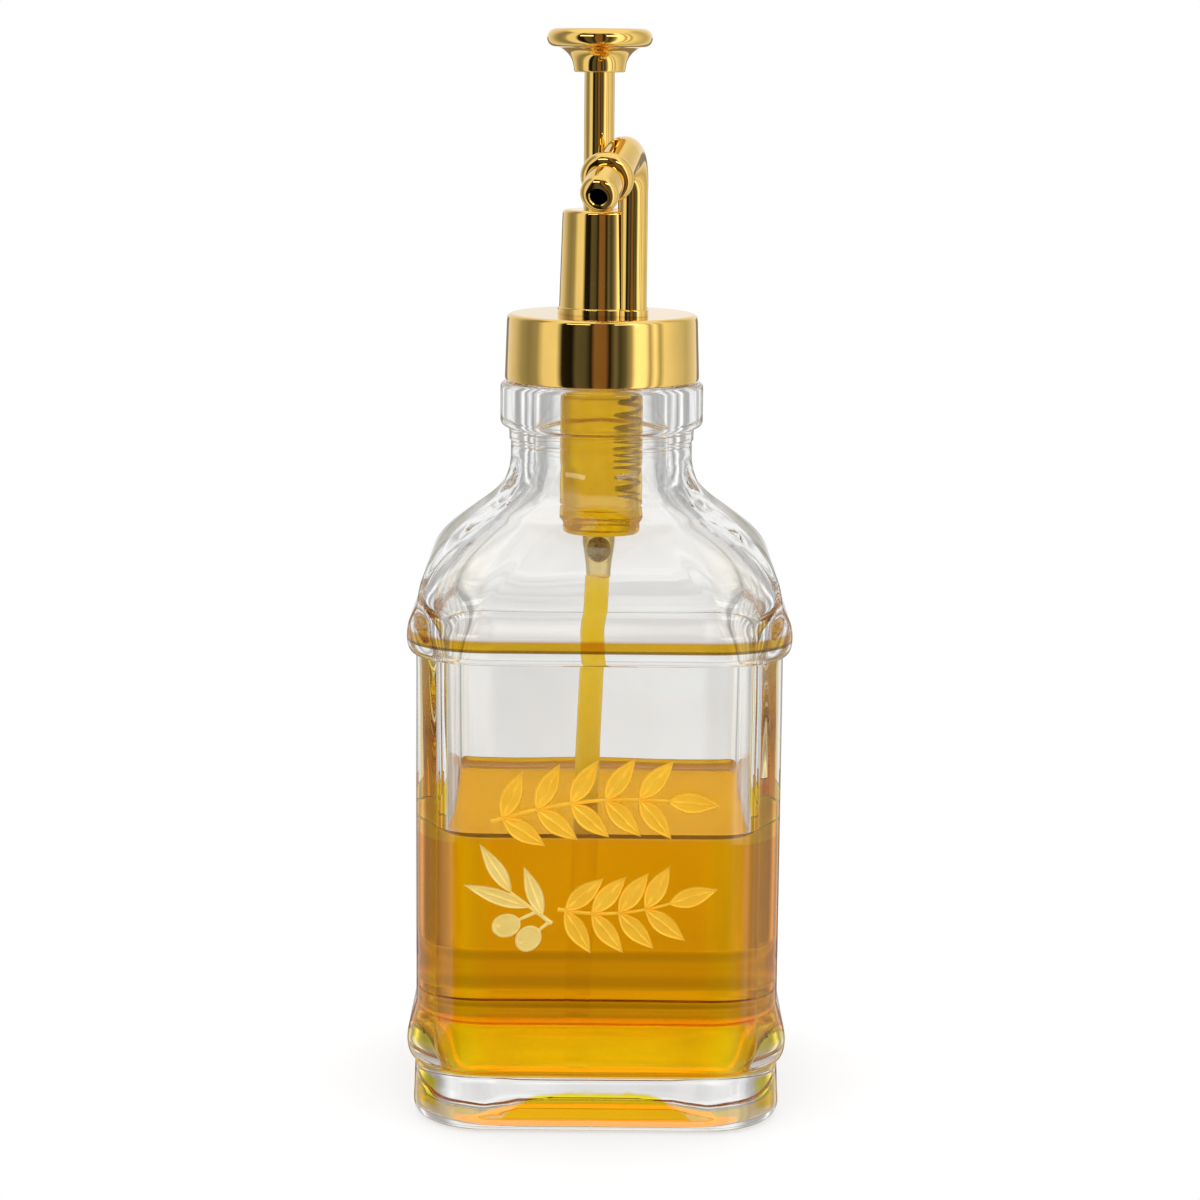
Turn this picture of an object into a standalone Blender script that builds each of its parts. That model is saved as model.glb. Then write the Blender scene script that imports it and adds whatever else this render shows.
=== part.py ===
"""Square glass olive oil bottle with a screw cap and a gold press-down pump, part filled with oil.

Metres, +Z up. The origin is the middle of the bottle's foot on the table.
-Y is the front, where the ornament is and the spout pours.
"""

import math

import bmesh
import bpy
from mathutils import Vector

# Glass bottle: a square body with rounded corners under a round neck
BODY_HALF = 0.0375
BODY_CORNER = 0.0150
FOOT_HALF = 0.0380
FOOT_FILLET = 0.0026
PUNT_HALF = 0.0270
PUNT_DEPTH = 0.0008
LOWER_RIDGE_Z = 0.0158
UPPER_RIDGE_Z = 0.1010
RIDGE_REACH = 0.0019
RIDGE_UNDER = 0.0036
RIDGE_OVER = 0.0085
SHOULDER_Z = 0.1085
INFLECTION_Z = 0.1250
INFLECTION_R = 0.0245
SHOULDER_TILT = math.radians(38.0)
SHOULDER_INSET = 0.0004
SHOULDER_LEAN = 0.0010
SHOULDER_RISE = 0.0070
SHOULDER_SWEEP = 0.0090
NECK_SWEEP = 0.0040
NECK_RISE = 0.0050
NECK_Z = 0.1355
NECK_R = 0.0189
NECK_STEP_Z = 0.1386
NECK_STEP = 0.0003
BEAD_R = 0.0211
BEAD_LOW_Z = 0.1412
BEAD_LOW_EDGE = 0.0014
BEAD_TOP_Z = 0.1506
BEAD_TOP_EDGE = 0.0012
FINISH_R = 0.0176
LIP_Z = 0.1616
LIP_EDGE = 0.0006

# The bottle's cavity: nearer square than the outside, and narrower across than deep
WALL = 0.0035
CAVITY_CORNER = 0.0060
CAVITY_NARROW = 0.0026
MOUTH_R = 0.0142
INNER_FLOOR_Z = 0.0112
INNER_FLOOR_FILLET = 0.0060
INNER_BEND_DROP = 0.0025
INNER_LEAN = 0.0006
INNER_RISE = 0.0045
INNER_FALL = 0.0080
INNER_NECK_Z = NECK_Z - 0.0015
INNER_NECK_RISE = 0.0060

# Oil
OIL_LEVEL_Z = 0.0610

# Fit between pieces that touch, and the small edges that break their corners
GAP = 0.0003
EDGE = 0.0003
FINE_EDGE = 0.0001

# Screw cap
CAP_TOP_Z = 0.1646
CAP_TOP_R = 0.0197
CAP_FOOT_R = 0.0202
CAP_EDGE = 0.0009
CAP_LID = 0.0012
CAP_HOLE_R = 0.0070

# Pump: its plunger stands a little to the left of the bottle's axis
PUMP_X = -0.0010
ROD_R = 0.0031
ROD_FOOT_Z = 0.1680
BORE_FLOOR_Z = 0.1500
TOWER_TOP_Z = 0.1860
TOWER_TOP_R = 0.0084
TOWER_FOOT_R = 0.0090
TOWER_FLANGE_R = 0.0093
TOWER_FLANGE = 0.0012
TOWER_EDGE = 0.0008
RISER_X = 0.0050
RISER_Y = -0.0065
RISER_R = 0.00305
RISER_FOOT_R = 0.0034
ARCH_TOP_Z = 0.2007
ARCH_BEND_R = 0.0080
SPOUT_HEADING = math.radians(13.0)
SPOUT_SLOPE = math.radians(24.0)
SPOUT_END_R = 0.0039
SPOUT_REACH = 0.0190
COLLAR_R = 0.0054
COLLAR_LENGTH = 0.0036
COLLAR_EDGE = 0.0004
NOZZLE_R = 0.0039
NOZZLE_LENGTH = 0.0088
NOZZLE_EDGE = 0.0007
NOZZLE_HOLE_R = 0.00172
NOZZLE_HOLE_DEPTH = 0.0050

# Knob
KNOB_TOP_Z = 0.2226
KNOB_R = 0.0108
KNOB_RIM = 0.0019
KNOB_HUB_R = 0.00525
KNOB_HUB_Z = 0.2138
KNOB_SOCKET_Z = 0.2200
FLARE_DROP = 0.0010
FLARE_WIDE = 0.0006
FLARE_RISE = 0.0022

# Pump housing in the neck
HOUSING_R = 0.0085
HOUSING_FOOT_R = 0.0082
HOUSING_FOOT_Z = 0.1185
HOUSING_BAND_Z = 0.1230
HOUSING_BAND = 0.00025
HOUSING_FOOT_EDGE = 0.0008
HOUSING_FLANGE_R = 0.0173
HOUSING_NECK_R = 0.0067
CHANNEL_X = 0.00475
CHANNEL_R = 0.0031
CHANNEL_FLOOR_Z = 0.1235
CHANNEL_TOP_Z = 0.1468
VENT_R = 0.0007
VENT_Z = 0.1450
SPRING_WIRE_R = 0.00035
SPRING_TOP_R = 0.0024
SPRING_FOOT_R = 0.0017
SPRING_PITCH = 0.0023
SPRING_LOW_Z = 0.1243
SPRING_HIGH_Z = 0.1460
SPRING_TAPER = 2.5

# Inlet tail with its check ball, and the dip tube
TAIL_X = -0.0005
TAIL_TOP_R = 0.0034
TAIL_FOOT_R = 0.0026
TAIL_FOOT_Z = 0.1108
BALL_R = 0.0023
BALL_ROOM = 0.0027
SEAT_Z = 0.1130
SEAT_WALL = 0.0010
INLET_R = 0.0012
TUBE_R = 0.0026
TUBE_WALL = 0.0007
TUBE_FOOT_X = -0.0042
TUBE_FOOT_Z = 0.0165
TUBE_BEND_LOW = (-0.0026, 0.0560)
TUBE_BEND_HIGH = (-0.0016, 0.0850)
OVERCUT = 0.0020

# Ornament on the front face, from the bottle's axis and the table
RELIEF = 0.0005
STEM_HALF = 0.0005
LEAF_LENGTH = 0.0105
LEAF_HALF = 0.0021
LEAF_TUCK = 0.0009
LEAF_TURN = 50.0
UPPER_STEM = ((-0.0215, 0.0655), (0.0150, 0.0700))
UPPER_BOW = 0.0040
UPPER_PAIRS = 5
LOWER_STEM = ((-0.0080, 0.0475), (0.0150, 0.0490))
LOWER_BOW = -0.0030
LOWER_PAIRS = 4
STEP_BACK = 0.00004

# The sprig: its stem, its leaves from root to tip, and its olives with their stalks' roots
SPRIG_STEM = ((-0.0092, 0.0445), (-0.0176, 0.0510))
SPRIG_LEAVES = [
    ((-0.0173, 0.0508), (-0.0238, 0.0609)),
    ((-0.0138, 0.0478), (-0.0270, 0.0524)),
    ((-0.0110, 0.0460), (-0.0149, 0.0564)),
]
SPRIG_LEAF_HALF = 0.0017
SPRIG_OLIVES = [((-0.0184, 0.0440), (-0.0125, 0.0468), 20.0), ((-0.0139, 0.0413), (-0.0096, 0.0449), 50.0)]
OLIVE_LONG = 0.0030
OLIVE_SHORT = 0.0025

# Facets
TURN_STEPS = 28
CAP_STEPS = 36
CORNER_STEPS = 6
TUBE_RINGS = 12
COIL_STEPS = 9
SHARP_ANGLE = math.radians(35.0)

GLASS = ("clear glass", (0.86, 0.88, 0.86), 0.03, 0.0, 0.25)
OIL = ("olive oil", (0.72, 0.45, 0.02), 0.05, 0.0, 0.9)
GOLD = ("polished gold", (0.86, 0.60, 0.22), 0.10, 1.0, 1.0)
PUMP_PLASTIC = ("yellow pump plastic", (0.85, 0.64, 0.04), 0.30, 0.0, 1.0)
TUBE_PLASTIC = ("dip tube plastic", (0.92, 0.75, 0.16), 0.25, 0.0, 1.0)
STEEL = ("spring steel", (0.45, 0.40, 0.28), 0.30, 1.0, 1.0)
ORNAMENT_GOLD = ("raised gold foil", (0.93, 0.70, 0.24), 0.25, 0.9, 1.0)


def clear_scene():
    for ob in list(bpy.data.objects):
        bpy.data.objects.remove(ob, do_unlink=True)


def new_collection(name):
    collection = bpy.data.collections.new(name)
    bpy.context.scene.collection.children.link(collection)
    return collection


def material(spec):
    name, colour, roughness, metallic, alpha = spec
    found = bpy.data.materials.get(name)
    if found is not None:
        return found
    made = bpy.data.materials.new(name)
    made.use_nodes = True
    shader = made.node_tree.nodes["Principled BSDF"]
    shader.inputs["Base Color"].default_value = (*colour, 1.0)
    shader.inputs["Roughness"].default_value = roughness
    shader.inputs["Metallic"].default_value = metallic
    shader.inputs["Alpha"].default_value = alpha
    made.diffuse_color = (*colour, alpha)
    return made


def smooth(ob):
    ob.data.shade_smooth()
    ob.data.set_sharp_from_angle(angle=SHARP_ANGLE)


def add(name, mesh, spec, collection):
    ob = bpy.data.objects.new(name, mesh)
    collection.objects.link(ob)
    if spec is not None:
        mesh.materials.append(material(spec))
    return ob


def as_cutter(ob):
    ob.hide_render = True
    ob.display_type = "WIRE"
    return ob


def arc(centre_r, centre_z, radius, start, end, steps):
    """Points on an arc in the (radius, height) plane, angles in degrees."""
    points = []
    for i in range(steps + 1):
        a = math.radians(start + (end - start) * i / steps)
        points.append((centre_r + radius * math.cos(a), centre_z + radius * math.sin(a)))
    return points


def bezier(p0, p1, p2, p3, steps):
    points = []
    for i in range(steps + 1):
        t = i / steps
        s = 1.0 - t
        weights = (s**3, 3 * s * s * t, 3 * s * t * t, t**3)
        points.append(tuple(sum(w * p[k] for w, p in zip(weights, (p0, p1, p2, p3))) for k in (0, 1)))
    return points


def turned(name, profile, spec, collection, closed=False, steps=TURN_STEPS):
    """A profile of (radius, height) points swept round Z with a Screw modifier."""
    mesh = bpy.data.meshes.new(name)
    edges = [(i, i + 1) for i in range(len(profile) - 1)]
    if closed:
        edges.append((len(profile) - 1, 0))
    mesh.from_pydata([(r, 0.0, z) for r, z in profile], edges, [])
    ob = add(name, mesh, spec, collection)
    screw = ob.modifiers.new("turn", "SCREW")
    screw.axis = "Z"
    screw.angle = math.tau
    screw.steps = steps
    screw.render_steps = steps
    screw.use_merge_vertices = True
    screw.merge_threshold = 0.00002
    screw.use_smooth_shade = True
    return ob


def square_ring(half, corner, z, narrow=0.0):
    """A square outline with round corners, drawn in by narrow at left and right."""
    corner = min(corner, half)
    flat = half - corner
    ring = []
    for quarter in range(4):
        middle = math.radians(45.0 + 90.0 * quarter)
        cx = math.copysign(flat - narrow, math.cos(middle))
        cy = math.copysign(flat, math.sin(middle))
        for i in range(CORNER_STEPS + 1):
            a = math.radians(90.0 * quarter + 90.0 * i / CORNER_STEPS)
            ring.append((cx + corner * math.cos(a), cy + corner * math.sin(a), z))
    return ring


def skin_rings(bm, rings):
    """Quads between one outline and the next, and a face over each end."""
    rows = [[bm.verts.new(p) for p in ring] for ring in rings]
    count = len(rows[0])
    for low, high in zip(rows, rows[1:]):
        for i in range(count):
            j = (i + 1) % count
            bm.faces.new((low[i], low[j], high[j], high[i]))
    bm.faces.new(rows[0])
    bm.faces.new(rows[-1])


def loft(name, levels, spec, collection):
    """A closed solid through levels of half width, corner radius, height and, if any, narrowing."""
    bm = bmesh.new()
    skin_rings(bm, [square_ring(*level) for level in levels])
    bmesh.ops.remove_doubles(bm, verts=bm.verts, dist=0.000005)
    bmesh.ops.recalc_face_normals(bm, faces=bm.faces)
    mesh = bpy.data.meshes.new(name)
    bm.to_mesh(mesh)
    bm.free()
    ob = add(name, mesh, spec, collection)
    smooth(ob)
    return ob


def curve_object(name, points, radii, rings, collection):
    """A round tube along a POLY spline, with a radius at each point."""
    curve = bpy.data.curves.new(name, "CURVE")
    curve.dimensions = "3D"
    curve.bevel_depth = 1.0
    curve.bevel_resolution = rings
    curve.use_fill_caps = True
    spline = curve.splines.new("POLY")
    spline.points.add(len(points) - 1)
    for point, place, radius in zip(spline.points, points, radii):
        point.co = (*place, 1.0)
        point.radius = radius
    ob = bpy.data.objects.new(name, curve)
    collection.objects.link(ob)
    return ob


def meshed(ob, spec, collection):
    """The curve object made a mesh object with its caps welded, and the curve removed."""
    bpy.context.view_layer.update()
    graph = bpy.context.evaluated_depsgraph_get()
    mesh = bpy.data.meshes.new_from_object(ob.evaluated_get(graph))
    bm = bmesh.new()
    bm.from_mesh(mesh)
    bmesh.ops.remove_doubles(bm, verts=bm.verts, dist=0.000002)
    bmesh.ops.recalc_face_normals(bm, faces=bm.faces)
    bm.to_mesh(mesh)
    bm.free()
    mesh.materials.clear()
    name = ob.name
    place = ob.matrix_world.copy()
    bpy.data.objects.remove(ob, do_unlink=True)
    made = add(name, mesh, spec, collection)
    made.name = name
    made.matrix_world = place
    smooth(made)
    return made


def cylinder(name, radius, low, high, collection, steps=24):
    """A round cutter from one point to another."""
    low = Vector(low)
    high = Vector(high)
    bm = bmesh.new()
    bmesh.ops.create_cone(
        bm, cap_ends=True, segments=steps, radius1=radius, radius2=radius, depth=(high - low).length
    )
    mesh = bpy.data.meshes.new(name)
    bm.to_mesh(mesh)
    bm.free()
    ob = add(name, mesh, None, collection)
    ob.location = (low + high) / 2
    ob.rotation_euler = (high - low).to_track_quat("Z", "Y").to_euler()
    return as_cutter(ob)


def boolean(ob, tool, operation):
    modifier = ob.modifiers.new(operation.lower(), "BOOLEAN")
    modifier.operation = operation
    modifier.solver = "EXACT"
    modifier.object = tool


def body_corner(half, z):
    """The corner radius at a height: the body's up to the shoulder, then up to a full circle."""
    flat = BODY_HALF - BODY_CORNER
    rise = (z - SHOULDER_Z) / (NECK_Z - SHOULDER_Z)
    if rise > 0.0:
        flat *= max(0.0, 1.0 - rise) ** 1.5
    return max(half - flat, 0.0)


def ridge_levels(middle_z, half):
    """One raised band: a short curl below its middle and a long fall above it."""
    top = half + RIDGE_REACH
    levels = bezier(
        (half, middle_z - RIDGE_UNDER), (half + RIDGE_REACH * 0.7, middle_z - RIDGE_UNDER * 0.95),
        (top, middle_z - RIDGE_UNDER * 0.6), (top, middle_z), 4,
    )
    levels += bezier(
        (top, middle_z), (top, middle_z + RIDGE_OVER * 0.35),
        (half + RIDGE_REACH * 0.25, middle_z + RIDGE_OVER * 0.6), (half, middle_z + RIDGE_OVER), 5,
    )[1:]
    return levels


def outer_profile():
    """(half width, height) from the foot to the lip, up the outside of the glass."""
    profile = [(PUNT_HALF * 0.6, PUNT_DEPTH), (PUNT_HALF, 0.0)]
    profile += arc(FOOT_HALF - FOOT_FILLET, FOOT_FILLET, FOOT_FILLET, -90, 0, 4)
    profile += ridge_levels(LOWER_RIDGE_Z, BODY_HALF)
    profile += ridge_levels(UPPER_RIDGE_Z, BODY_HALF - FINE_EDGE)[:-1]
    bend = Vector((INFLECTION_R, INFLECTION_Z))
    slope = Vector((math.cos(SHOULDER_TILT), -math.sin(SHOULDER_TILT)))
    profile += bezier(
        (BODY_HALF - SHOULDER_INSET, SHOULDER_Z), (BODY_HALF - SHOULDER_LEAN, SHOULDER_Z + SHOULDER_RISE),
        bend + slope * SHOULDER_SWEEP, bend, 8,
    )
    profile += bezier(bend, bend - slope * NECK_SWEEP, (NECK_R, NECK_Z - NECK_RISE), (NECK_R, NECK_Z), 6)[1:]
    profile += [(NECK_R, NECK_STEP_Z - NECK_STEP), (NECK_R + NECK_STEP, NECK_STEP_Z)]
    profile += [(NECK_R + NECK_STEP * 1.5, BEAD_LOW_Z)]
    profile += arc(BEAD_R - BEAD_LOW_EDGE, BEAD_LOW_Z + BEAD_LOW_EDGE, BEAD_LOW_EDGE, -70, 0, 3)
    profile += arc(BEAD_R - BEAD_TOP_EDGE, BEAD_TOP_Z - BEAD_TOP_EDGE, BEAD_TOP_EDGE, 0, 90, 3)
    profile += [(FINISH_R, BEAD_TOP_Z), (FINISH_R, LIP_Z - LIP_EDGE), (FINISH_R - LIP_EDGE, LIP_Z)]
    return profile


def inner_profile(shrink=0.0):
    """(half width, height) from the inner floor to the mouth, drawn in by shrink."""
    half = BODY_HALF - WALL - shrink
    mouth = MOUTH_R - shrink
    floor = INNER_FLOOR_Z + shrink
    fillet = INNER_FLOOR_FILLET
    bend = Vector((INFLECTION_R - WALL, INFLECTION_Z - WALL + EDGE))
    fall = Vector((SHOULDER_SWEEP * math.cos(SHOULDER_TILT), -INNER_FALL * math.sin(SHOULDER_TILT)))
    climb = Vector((-math.cos(SHOULDER_TILT), math.sin(SHOULDER_TILT))) * NECK_SWEEP
    profile = arc(half - fillet, floor + fillet, fillet, -90, 0, 5)
    low = (half, SHOULDER_Z - INNER_BEND_DROP)
    profile += bezier(low, (half - INNER_LEAN, SHOULDER_Z + INNER_RISE), bend + fall, bend, 6)
    profile += bezier(bend, bend + climb, (mouth, INNER_NECK_Z - INNER_NECK_RISE), (mouth, INNER_NECK_Z), 5)[1:]
    return profile


def inner_level(half, z):
    """One level of the cavity, whose flats shrink to nothing from the shoulder to the round neck."""
    rise = (z - SHOULDER_Z) / (INNER_NECK_Z - SHOULDER_Z)
    fade = (1.0 - min(1.0, max(0.0, rise))) ** 1.5
    flat = min((BODY_HALF - WALL - CAVITY_CORNER) * fade, half * 0.82)
    return half, half - flat, z, min(CAVITY_NARROW * fade, flat * 0.9)


def make_bottle(parts):
    levels = [(half, body_corner(half, z), z) for half, z in outer_profile()]
    mouth = [(MOUTH_R, MOUTH_R, LIP_Z)]
    inside = [inner_level(half, z) for half, z in inner_profile()]
    loft("glass_bottle", levels + mouth + inside[::-1], GLASS, parts)


def tube_route():
    """The dip tube's middle line, from its foot in the oil to the inlet tail."""
    foot = (TUBE_FOOT_X, TUBE_FOOT_Z)
    top = (TAIL_X - FINE_EDGE, TAIL_FOOT_Z - GAP)
    points = bezier(foot, TUBE_BEND_LOW, TUBE_BEND_HIGH, top, TUBE_RINGS)
    return [(x, 0.0, z) for x, z in points]


def tube_piece(name, radius, collection, reach=0.0):
    """A round length along the dip tube's route, reach longer at its foot."""
    route = tube_route()
    foot = Vector(route[0])
    down = (foot - Vector(route[1])).normalized()
    route[0] = tuple(foot + down * reach)
    return curve_object(name, route, [radius] * len(route), 4, collection)


def make_oil(parts, cutters):
    side = [(half, z) for half, z in inner_profile(GAP) if z < OIL_LEVEL_Z]
    side.append((BODY_HALF - WALL - GAP, OIL_LEVEL_Z))
    levels = [inner_level(half, z) for half, z in side]
    oil = loft("oil", levels, OIL, parts)
    hole = meshed(tube_piece("oil_tube_hole", TUBE_R + GAP, cutters, GAP), None, cutters)
    boolean(oil, as_cutter(hole), "DIFFERENCE")


def make_tube(parts, cutters):
    tube = meshed(tube_piece("dip_tube", TUBE_R, parts), TUBE_PLASTIC, parts)
    bore = meshed(tube_piece("tube_bore", TUBE_R - TUBE_WALL, cutters, OVERCUT), None, cutters)
    stretch = Vector((0.0, 0.0, OVERCUT))
    for vertex in bore.data.vertices:
        if vertex.co.z > TAIL_FOOT_Z - OVERCUT:
            vertex.co += stretch
    boolean(tube, as_cutter(bore), "DIFFERENCE")
    meshed(tube_piece("oil_column", TUBE_R - TUBE_WALL - GAP, parts), OIL, parts)


def make_cap(parts):
    foot = BEAD_TOP_Z + GAP
    profile = [(CAP_HOLE_R, CAP_TOP_Z)]
    profile += arc(CAP_TOP_R - CAP_EDGE, CAP_TOP_Z - CAP_EDGE, CAP_EDGE, 90, 0, 4)
    profile += [(CAP_FOOT_R, foot + EDGE), (CAP_FOOT_R - EDGE, foot)]
    inside = FINISH_R + GAP + FINE_EDGE
    profile += [(inside, foot), (inside, CAP_TOP_Z - CAP_LID), (CAP_HOLE_R, CAP_TOP_Z - CAP_LID)]
    turned("cap", profile, GOLD, parts, closed=True, steps=CAP_STEPS)


def spout_frame():
    """The spout's end point in the collar and its pouring direction."""
    flat = Vector((-math.sin(SPOUT_HEADING), -math.cos(SPOUT_HEADING), 0.0))
    pour = flat * math.cos(SPOUT_SLOPE) - Vector((0.0, 0.0, math.sin(SPOUT_SLOPE)))
    turn = math.pi / 2 + SPOUT_SLOPE
    bend_z = ARCH_TOP_Z - RISER_R - ARCH_BEND_R
    start = Vector((RISER_X, RISER_Y, bend_z))
    ahead = ARCH_BEND_R * (1 - math.cos(turn))
    end = start + flat * ahead + Vector((0.0, 0.0, ARCH_BEND_R * math.sin(turn)))
    collar = end + pour * ((SPOUT_REACH - ahead) / math.cos(SPOUT_SLOPE))
    return start, flat, turn, collar, pour


def spout_route():
    """The riser, its swan-neck bend and the run down to the collar, with a radius for each point."""
    start, flat, turn, collar, pour = spout_frame()
    foot = Vector((RISER_X, RISER_Y, CAP_TOP_Z + GAP))
    points = [foot]
    steps = 10
    for i in range(steps + 1):
        a = turn * i / steps
        ahead = ARCH_BEND_R * (1 - math.cos(a))
        points.append(start + flat * ahead + Vector((0.0, 0.0, ARCH_BEND_R * math.sin(a))))
    points.append(collar - pour * (GAP / 2))
    growth = SPOUT_END_R - RISER_R
    radii = [RISER_R] + [RISER_R + growth * i / (steps + 1) for i in range(steps + 2)]
    return points, radii


def make_tower(parts, cutters):
    foot = CAP_TOP_Z + GAP
    flange = foot + TOWER_FLANGE
    bore = ROD_R + GAP
    profile = [(bore, TOWER_TOP_Z)]
    profile += arc(TOWER_TOP_R - TOWER_EDGE, TOWER_TOP_Z - TOWER_EDGE, TOWER_EDGE, 90, 0, 4)
    profile += [(TOWER_FOOT_R, flange), (TOWER_FLANGE_R, flange - FINE_EDGE), (TOWER_FLANGE_R, foot)]
    profile += [(bore, foot)]
    tower = turned("pump_tower", profile, GOLD, parts, closed=True)
    tower.location = (PUMP_X, 0.0, 0.0)
    points, radii = spout_route()
    riser = meshed(curve_object("riser", points, radii, 6, cutters), None, cutters)
    boolean(tower, as_cutter(riser), "UNION")
    riser_foot = cylinder(
        "riser_foot", RISER_FOOT_R, (RISER_X, RISER_Y, foot), (RISER_X, RISER_Y, flange), cutters
    )
    boolean(tower, riser_foot, "UNION")


def make_nozzle(parts):
    collar, pour = spout_frame()[3:]
    turn = pour.to_track_quat("Z", "Y").to_euler()
    half = COLLAR_LENGTH / 2
    inside = SPOUT_END_R + GAP
    bulge = COLLAR_R - inside
    ring = [(inside, half - COLLAR_EDGE)]
    ring += [(inside + bulge * math.cos(a), half * math.sin(a)) for a in
             (math.radians(60 - 15 * i) for i in range(9))]
    ring += [(inside, COLLAR_EDGE - half)]
    ob = turned("spout_collar", ring, GOLD, parts, closed=True)
    ob.location = collar
    ob.rotation_euler = turn
    back = GAP / 2
    tip = NOZZLE_LENGTH
    profile = [(0.0, tip - NOZZLE_HOLE_DEPTH), (NOZZLE_HOLE_R, tip - NOZZLE_HOLE_DEPTH)]
    profile += [(NOZZLE_HOLE_R, tip)]
    profile += arc(NOZZLE_R - NOZZLE_EDGE, tip - NOZZLE_EDGE, NOZZLE_EDGE, 90, 0, 4)
    profile += [(NOZZLE_R, back), (0.0, back)]
    ob = turned("spout_nozzle", profile, GOLD, parts)
    ob.location = collar
    ob.rotation_euler = turn


def make_plunger(parts):
    """The knob and its rod, under an empty on the line they slide along."""
    slide = bpy.data.objects.new("plunger_slide", None)
    slide.location = (PUMP_X, 0.0, 0.0)
    parts.objects.link(slide)
    rim_r = KNOB_R - KNOB_RIM
    rim_z = KNOB_TOP_Z - KNOB_RIM
    flare = bezier(
        (rim_r - FINE_EDGE, rim_z - KNOB_RIM * 0.98), (KNOB_HUB_R + FLARE_WIDE, rim_z - KNOB_RIM - FLARE_DROP),
        (KNOB_HUB_R + FINE_EDGE, KNOB_HUB_Z + FLARE_RISE), (KNOB_HUB_R, KNOB_HUB_Z + EDGE), 6,
    )
    socket = ROD_R + GAP
    profile = [(0.0, KNOB_TOP_Z)]
    profile += arc(rim_r, rim_z, KNOB_RIM, 90, -75, 8)
    profile += flare
    profile += [(KNOB_HUB_R - EDGE, KNOB_HUB_Z), (socket, KNOB_HUB_Z)]
    profile += [(socket, KNOB_SOCKET_Z), (0.0, KNOB_SOCKET_Z)]
    knob = turned("plunger_knob", profile, GOLD, parts)
    knob.parent = slide
    top = KNOB_SOCKET_Z - GAP
    rod = turned("plunger_rod", [(0.0, top), (ROD_R, top), (ROD_R, ROD_FOOT_Z), (0.0, ROD_FOOT_Z)],
                 GOLD, parts)
    rod.parent = slide


def make_housing(parts, cutters):
    top = CAP_TOP_Z
    flange_top = CAP_TOP_Z - CAP_LID - GAP
    flange_low = LIP_Z + GAP
    profile = [(0.0, top), (HOUSING_NECK_R, top), (HOUSING_NECK_R, flange_top)]
    profile += [(HOUSING_FLANGE_R, flange_top), (HOUSING_FLANGE_R, flange_low)]
    profile += [(HOUSING_R, flange_low)]
    profile += [(HOUSING_FOOT_R + HOUSING_BAND, HOUSING_BAND_Z), (HOUSING_FOOT_R, HOUSING_BAND_Z - EDGE)]
    edge = HOUSING_FOOT_EDGE
    profile += arc(HOUSING_FOOT_R - edge, HOUSING_FOOT_Z + edge, edge, 0, -90, 3)
    profile += [(0.0, HOUSING_FOOT_Z)]
    housing = turned("pump_housing", profile, PUMP_PLASTIC, parts)
    bore = cylinder(
        "rod_bore", ROD_R + GAP, (PUMP_X, 0.0, BORE_FLOOR_Z), (PUMP_X, 0.0, top + OVERCUT), cutters
    )
    channel = cylinder(
        "valve_channel", CHANNEL_R, (CHANNEL_X, 0.0, CHANNEL_FLOOR_Z), (CHANNEL_X, 0.0, CHANNEL_TOP_Z), cutters
    )
    vent = cylinder(
        "vent", VENT_R, (CHANNEL_X, 0.0, VENT_Z), (CHANNEL_X, HOUSING_R + OVERCUT, VENT_Z), cutters, 12
    )
    for tool in (bore, channel, vent):
        boolean(housing, tool, "DIFFERENCE")


def make_spring(parts):
    """The outlet valve's coil, a little narrower at its foot."""
    turns = (SPRING_HIGH_Z - SPRING_LOW_Z) / SPRING_PITCH
    count = round(turns * COIL_STEPS)
    points = []
    for i in range(count + 1):
        rise = i / count
        radius = SPRING_FOOT_R + (SPRING_TOP_R - SPRING_FOOT_R) * min(1.0, rise * SPRING_TAPER)
        a = math.tau * i / COIL_STEPS
        points.append((
            CHANNEL_X + radius * math.cos(a), radius * math.sin(a),
            SPRING_LOW_Z + (SPRING_HIGH_Z - SPRING_LOW_Z) * rise,
        ))
    coil = curve_object("valve_spring", points, [SPRING_WIRE_R] * len(points), 1, parts)
    meshed(coil, STEEL, parts)


def make_tail(parts):
    top = HOUSING_FOOT_Z - GAP
    profile = [(BALL_ROOM, top), (TAIL_TOP_R, top), (TAIL_TOP_R - FINE_EDGE, SEAT_Z + SEAT_WALL)]
    profile += [(TAIL_FOOT_R, TAIL_FOOT_Z), (INLET_R, TAIL_FOOT_Z), (INLET_R, SEAT_Z), (BALL_ROOM, SEAT_Z)]
    tail = turned("inlet_tail", profile, TUBE_PLASTIC, parts, closed=True)
    tail.location = (TAIL_X, 0.0, 0.0)
    bm = bmesh.new()
    bmesh.ops.create_uvsphere(bm, u_segments=16, v_segments=10, radius=BALL_R)
    mesh = bpy.data.meshes.new("check_ball")
    bm.to_mesh(mesh)
    bm.free()
    ball = add("check_ball", mesh, STEEL, parts)
    ball.location = (TAIL_X, 0.0, SEAT_Z + GAP + BALL_R)
    smooth(ball)


def flat_shape(name, outline, collection):
    """A thin raised shape on the front face from a 2D outline in the face's own x and height."""
    curve = bpy.data.curves.new(name, "CURVE")
    curve.dimensions = "2D"
    curve.fill_mode = "BOTH"
    curve.extrude = RELIEF / 2
    spline = curve.splines.new("POLY")
    spline.points.add(len(outline) - 1)
    for point, (x, z) in zip(spline.points, outline):
        point.co = (x, z, 0.0, 1.0)
    spline.use_cyclic_u = True
    ob = bpy.data.objects.new(name, curve)
    collection.objects.link(ob)
    ob.rotation_euler = (math.pi / 2, 0.0, 0.0)
    ob.location = (0.0, -(BODY_HALF + GAP + RELIEF / 2), 0.0)
    return ob


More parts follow.
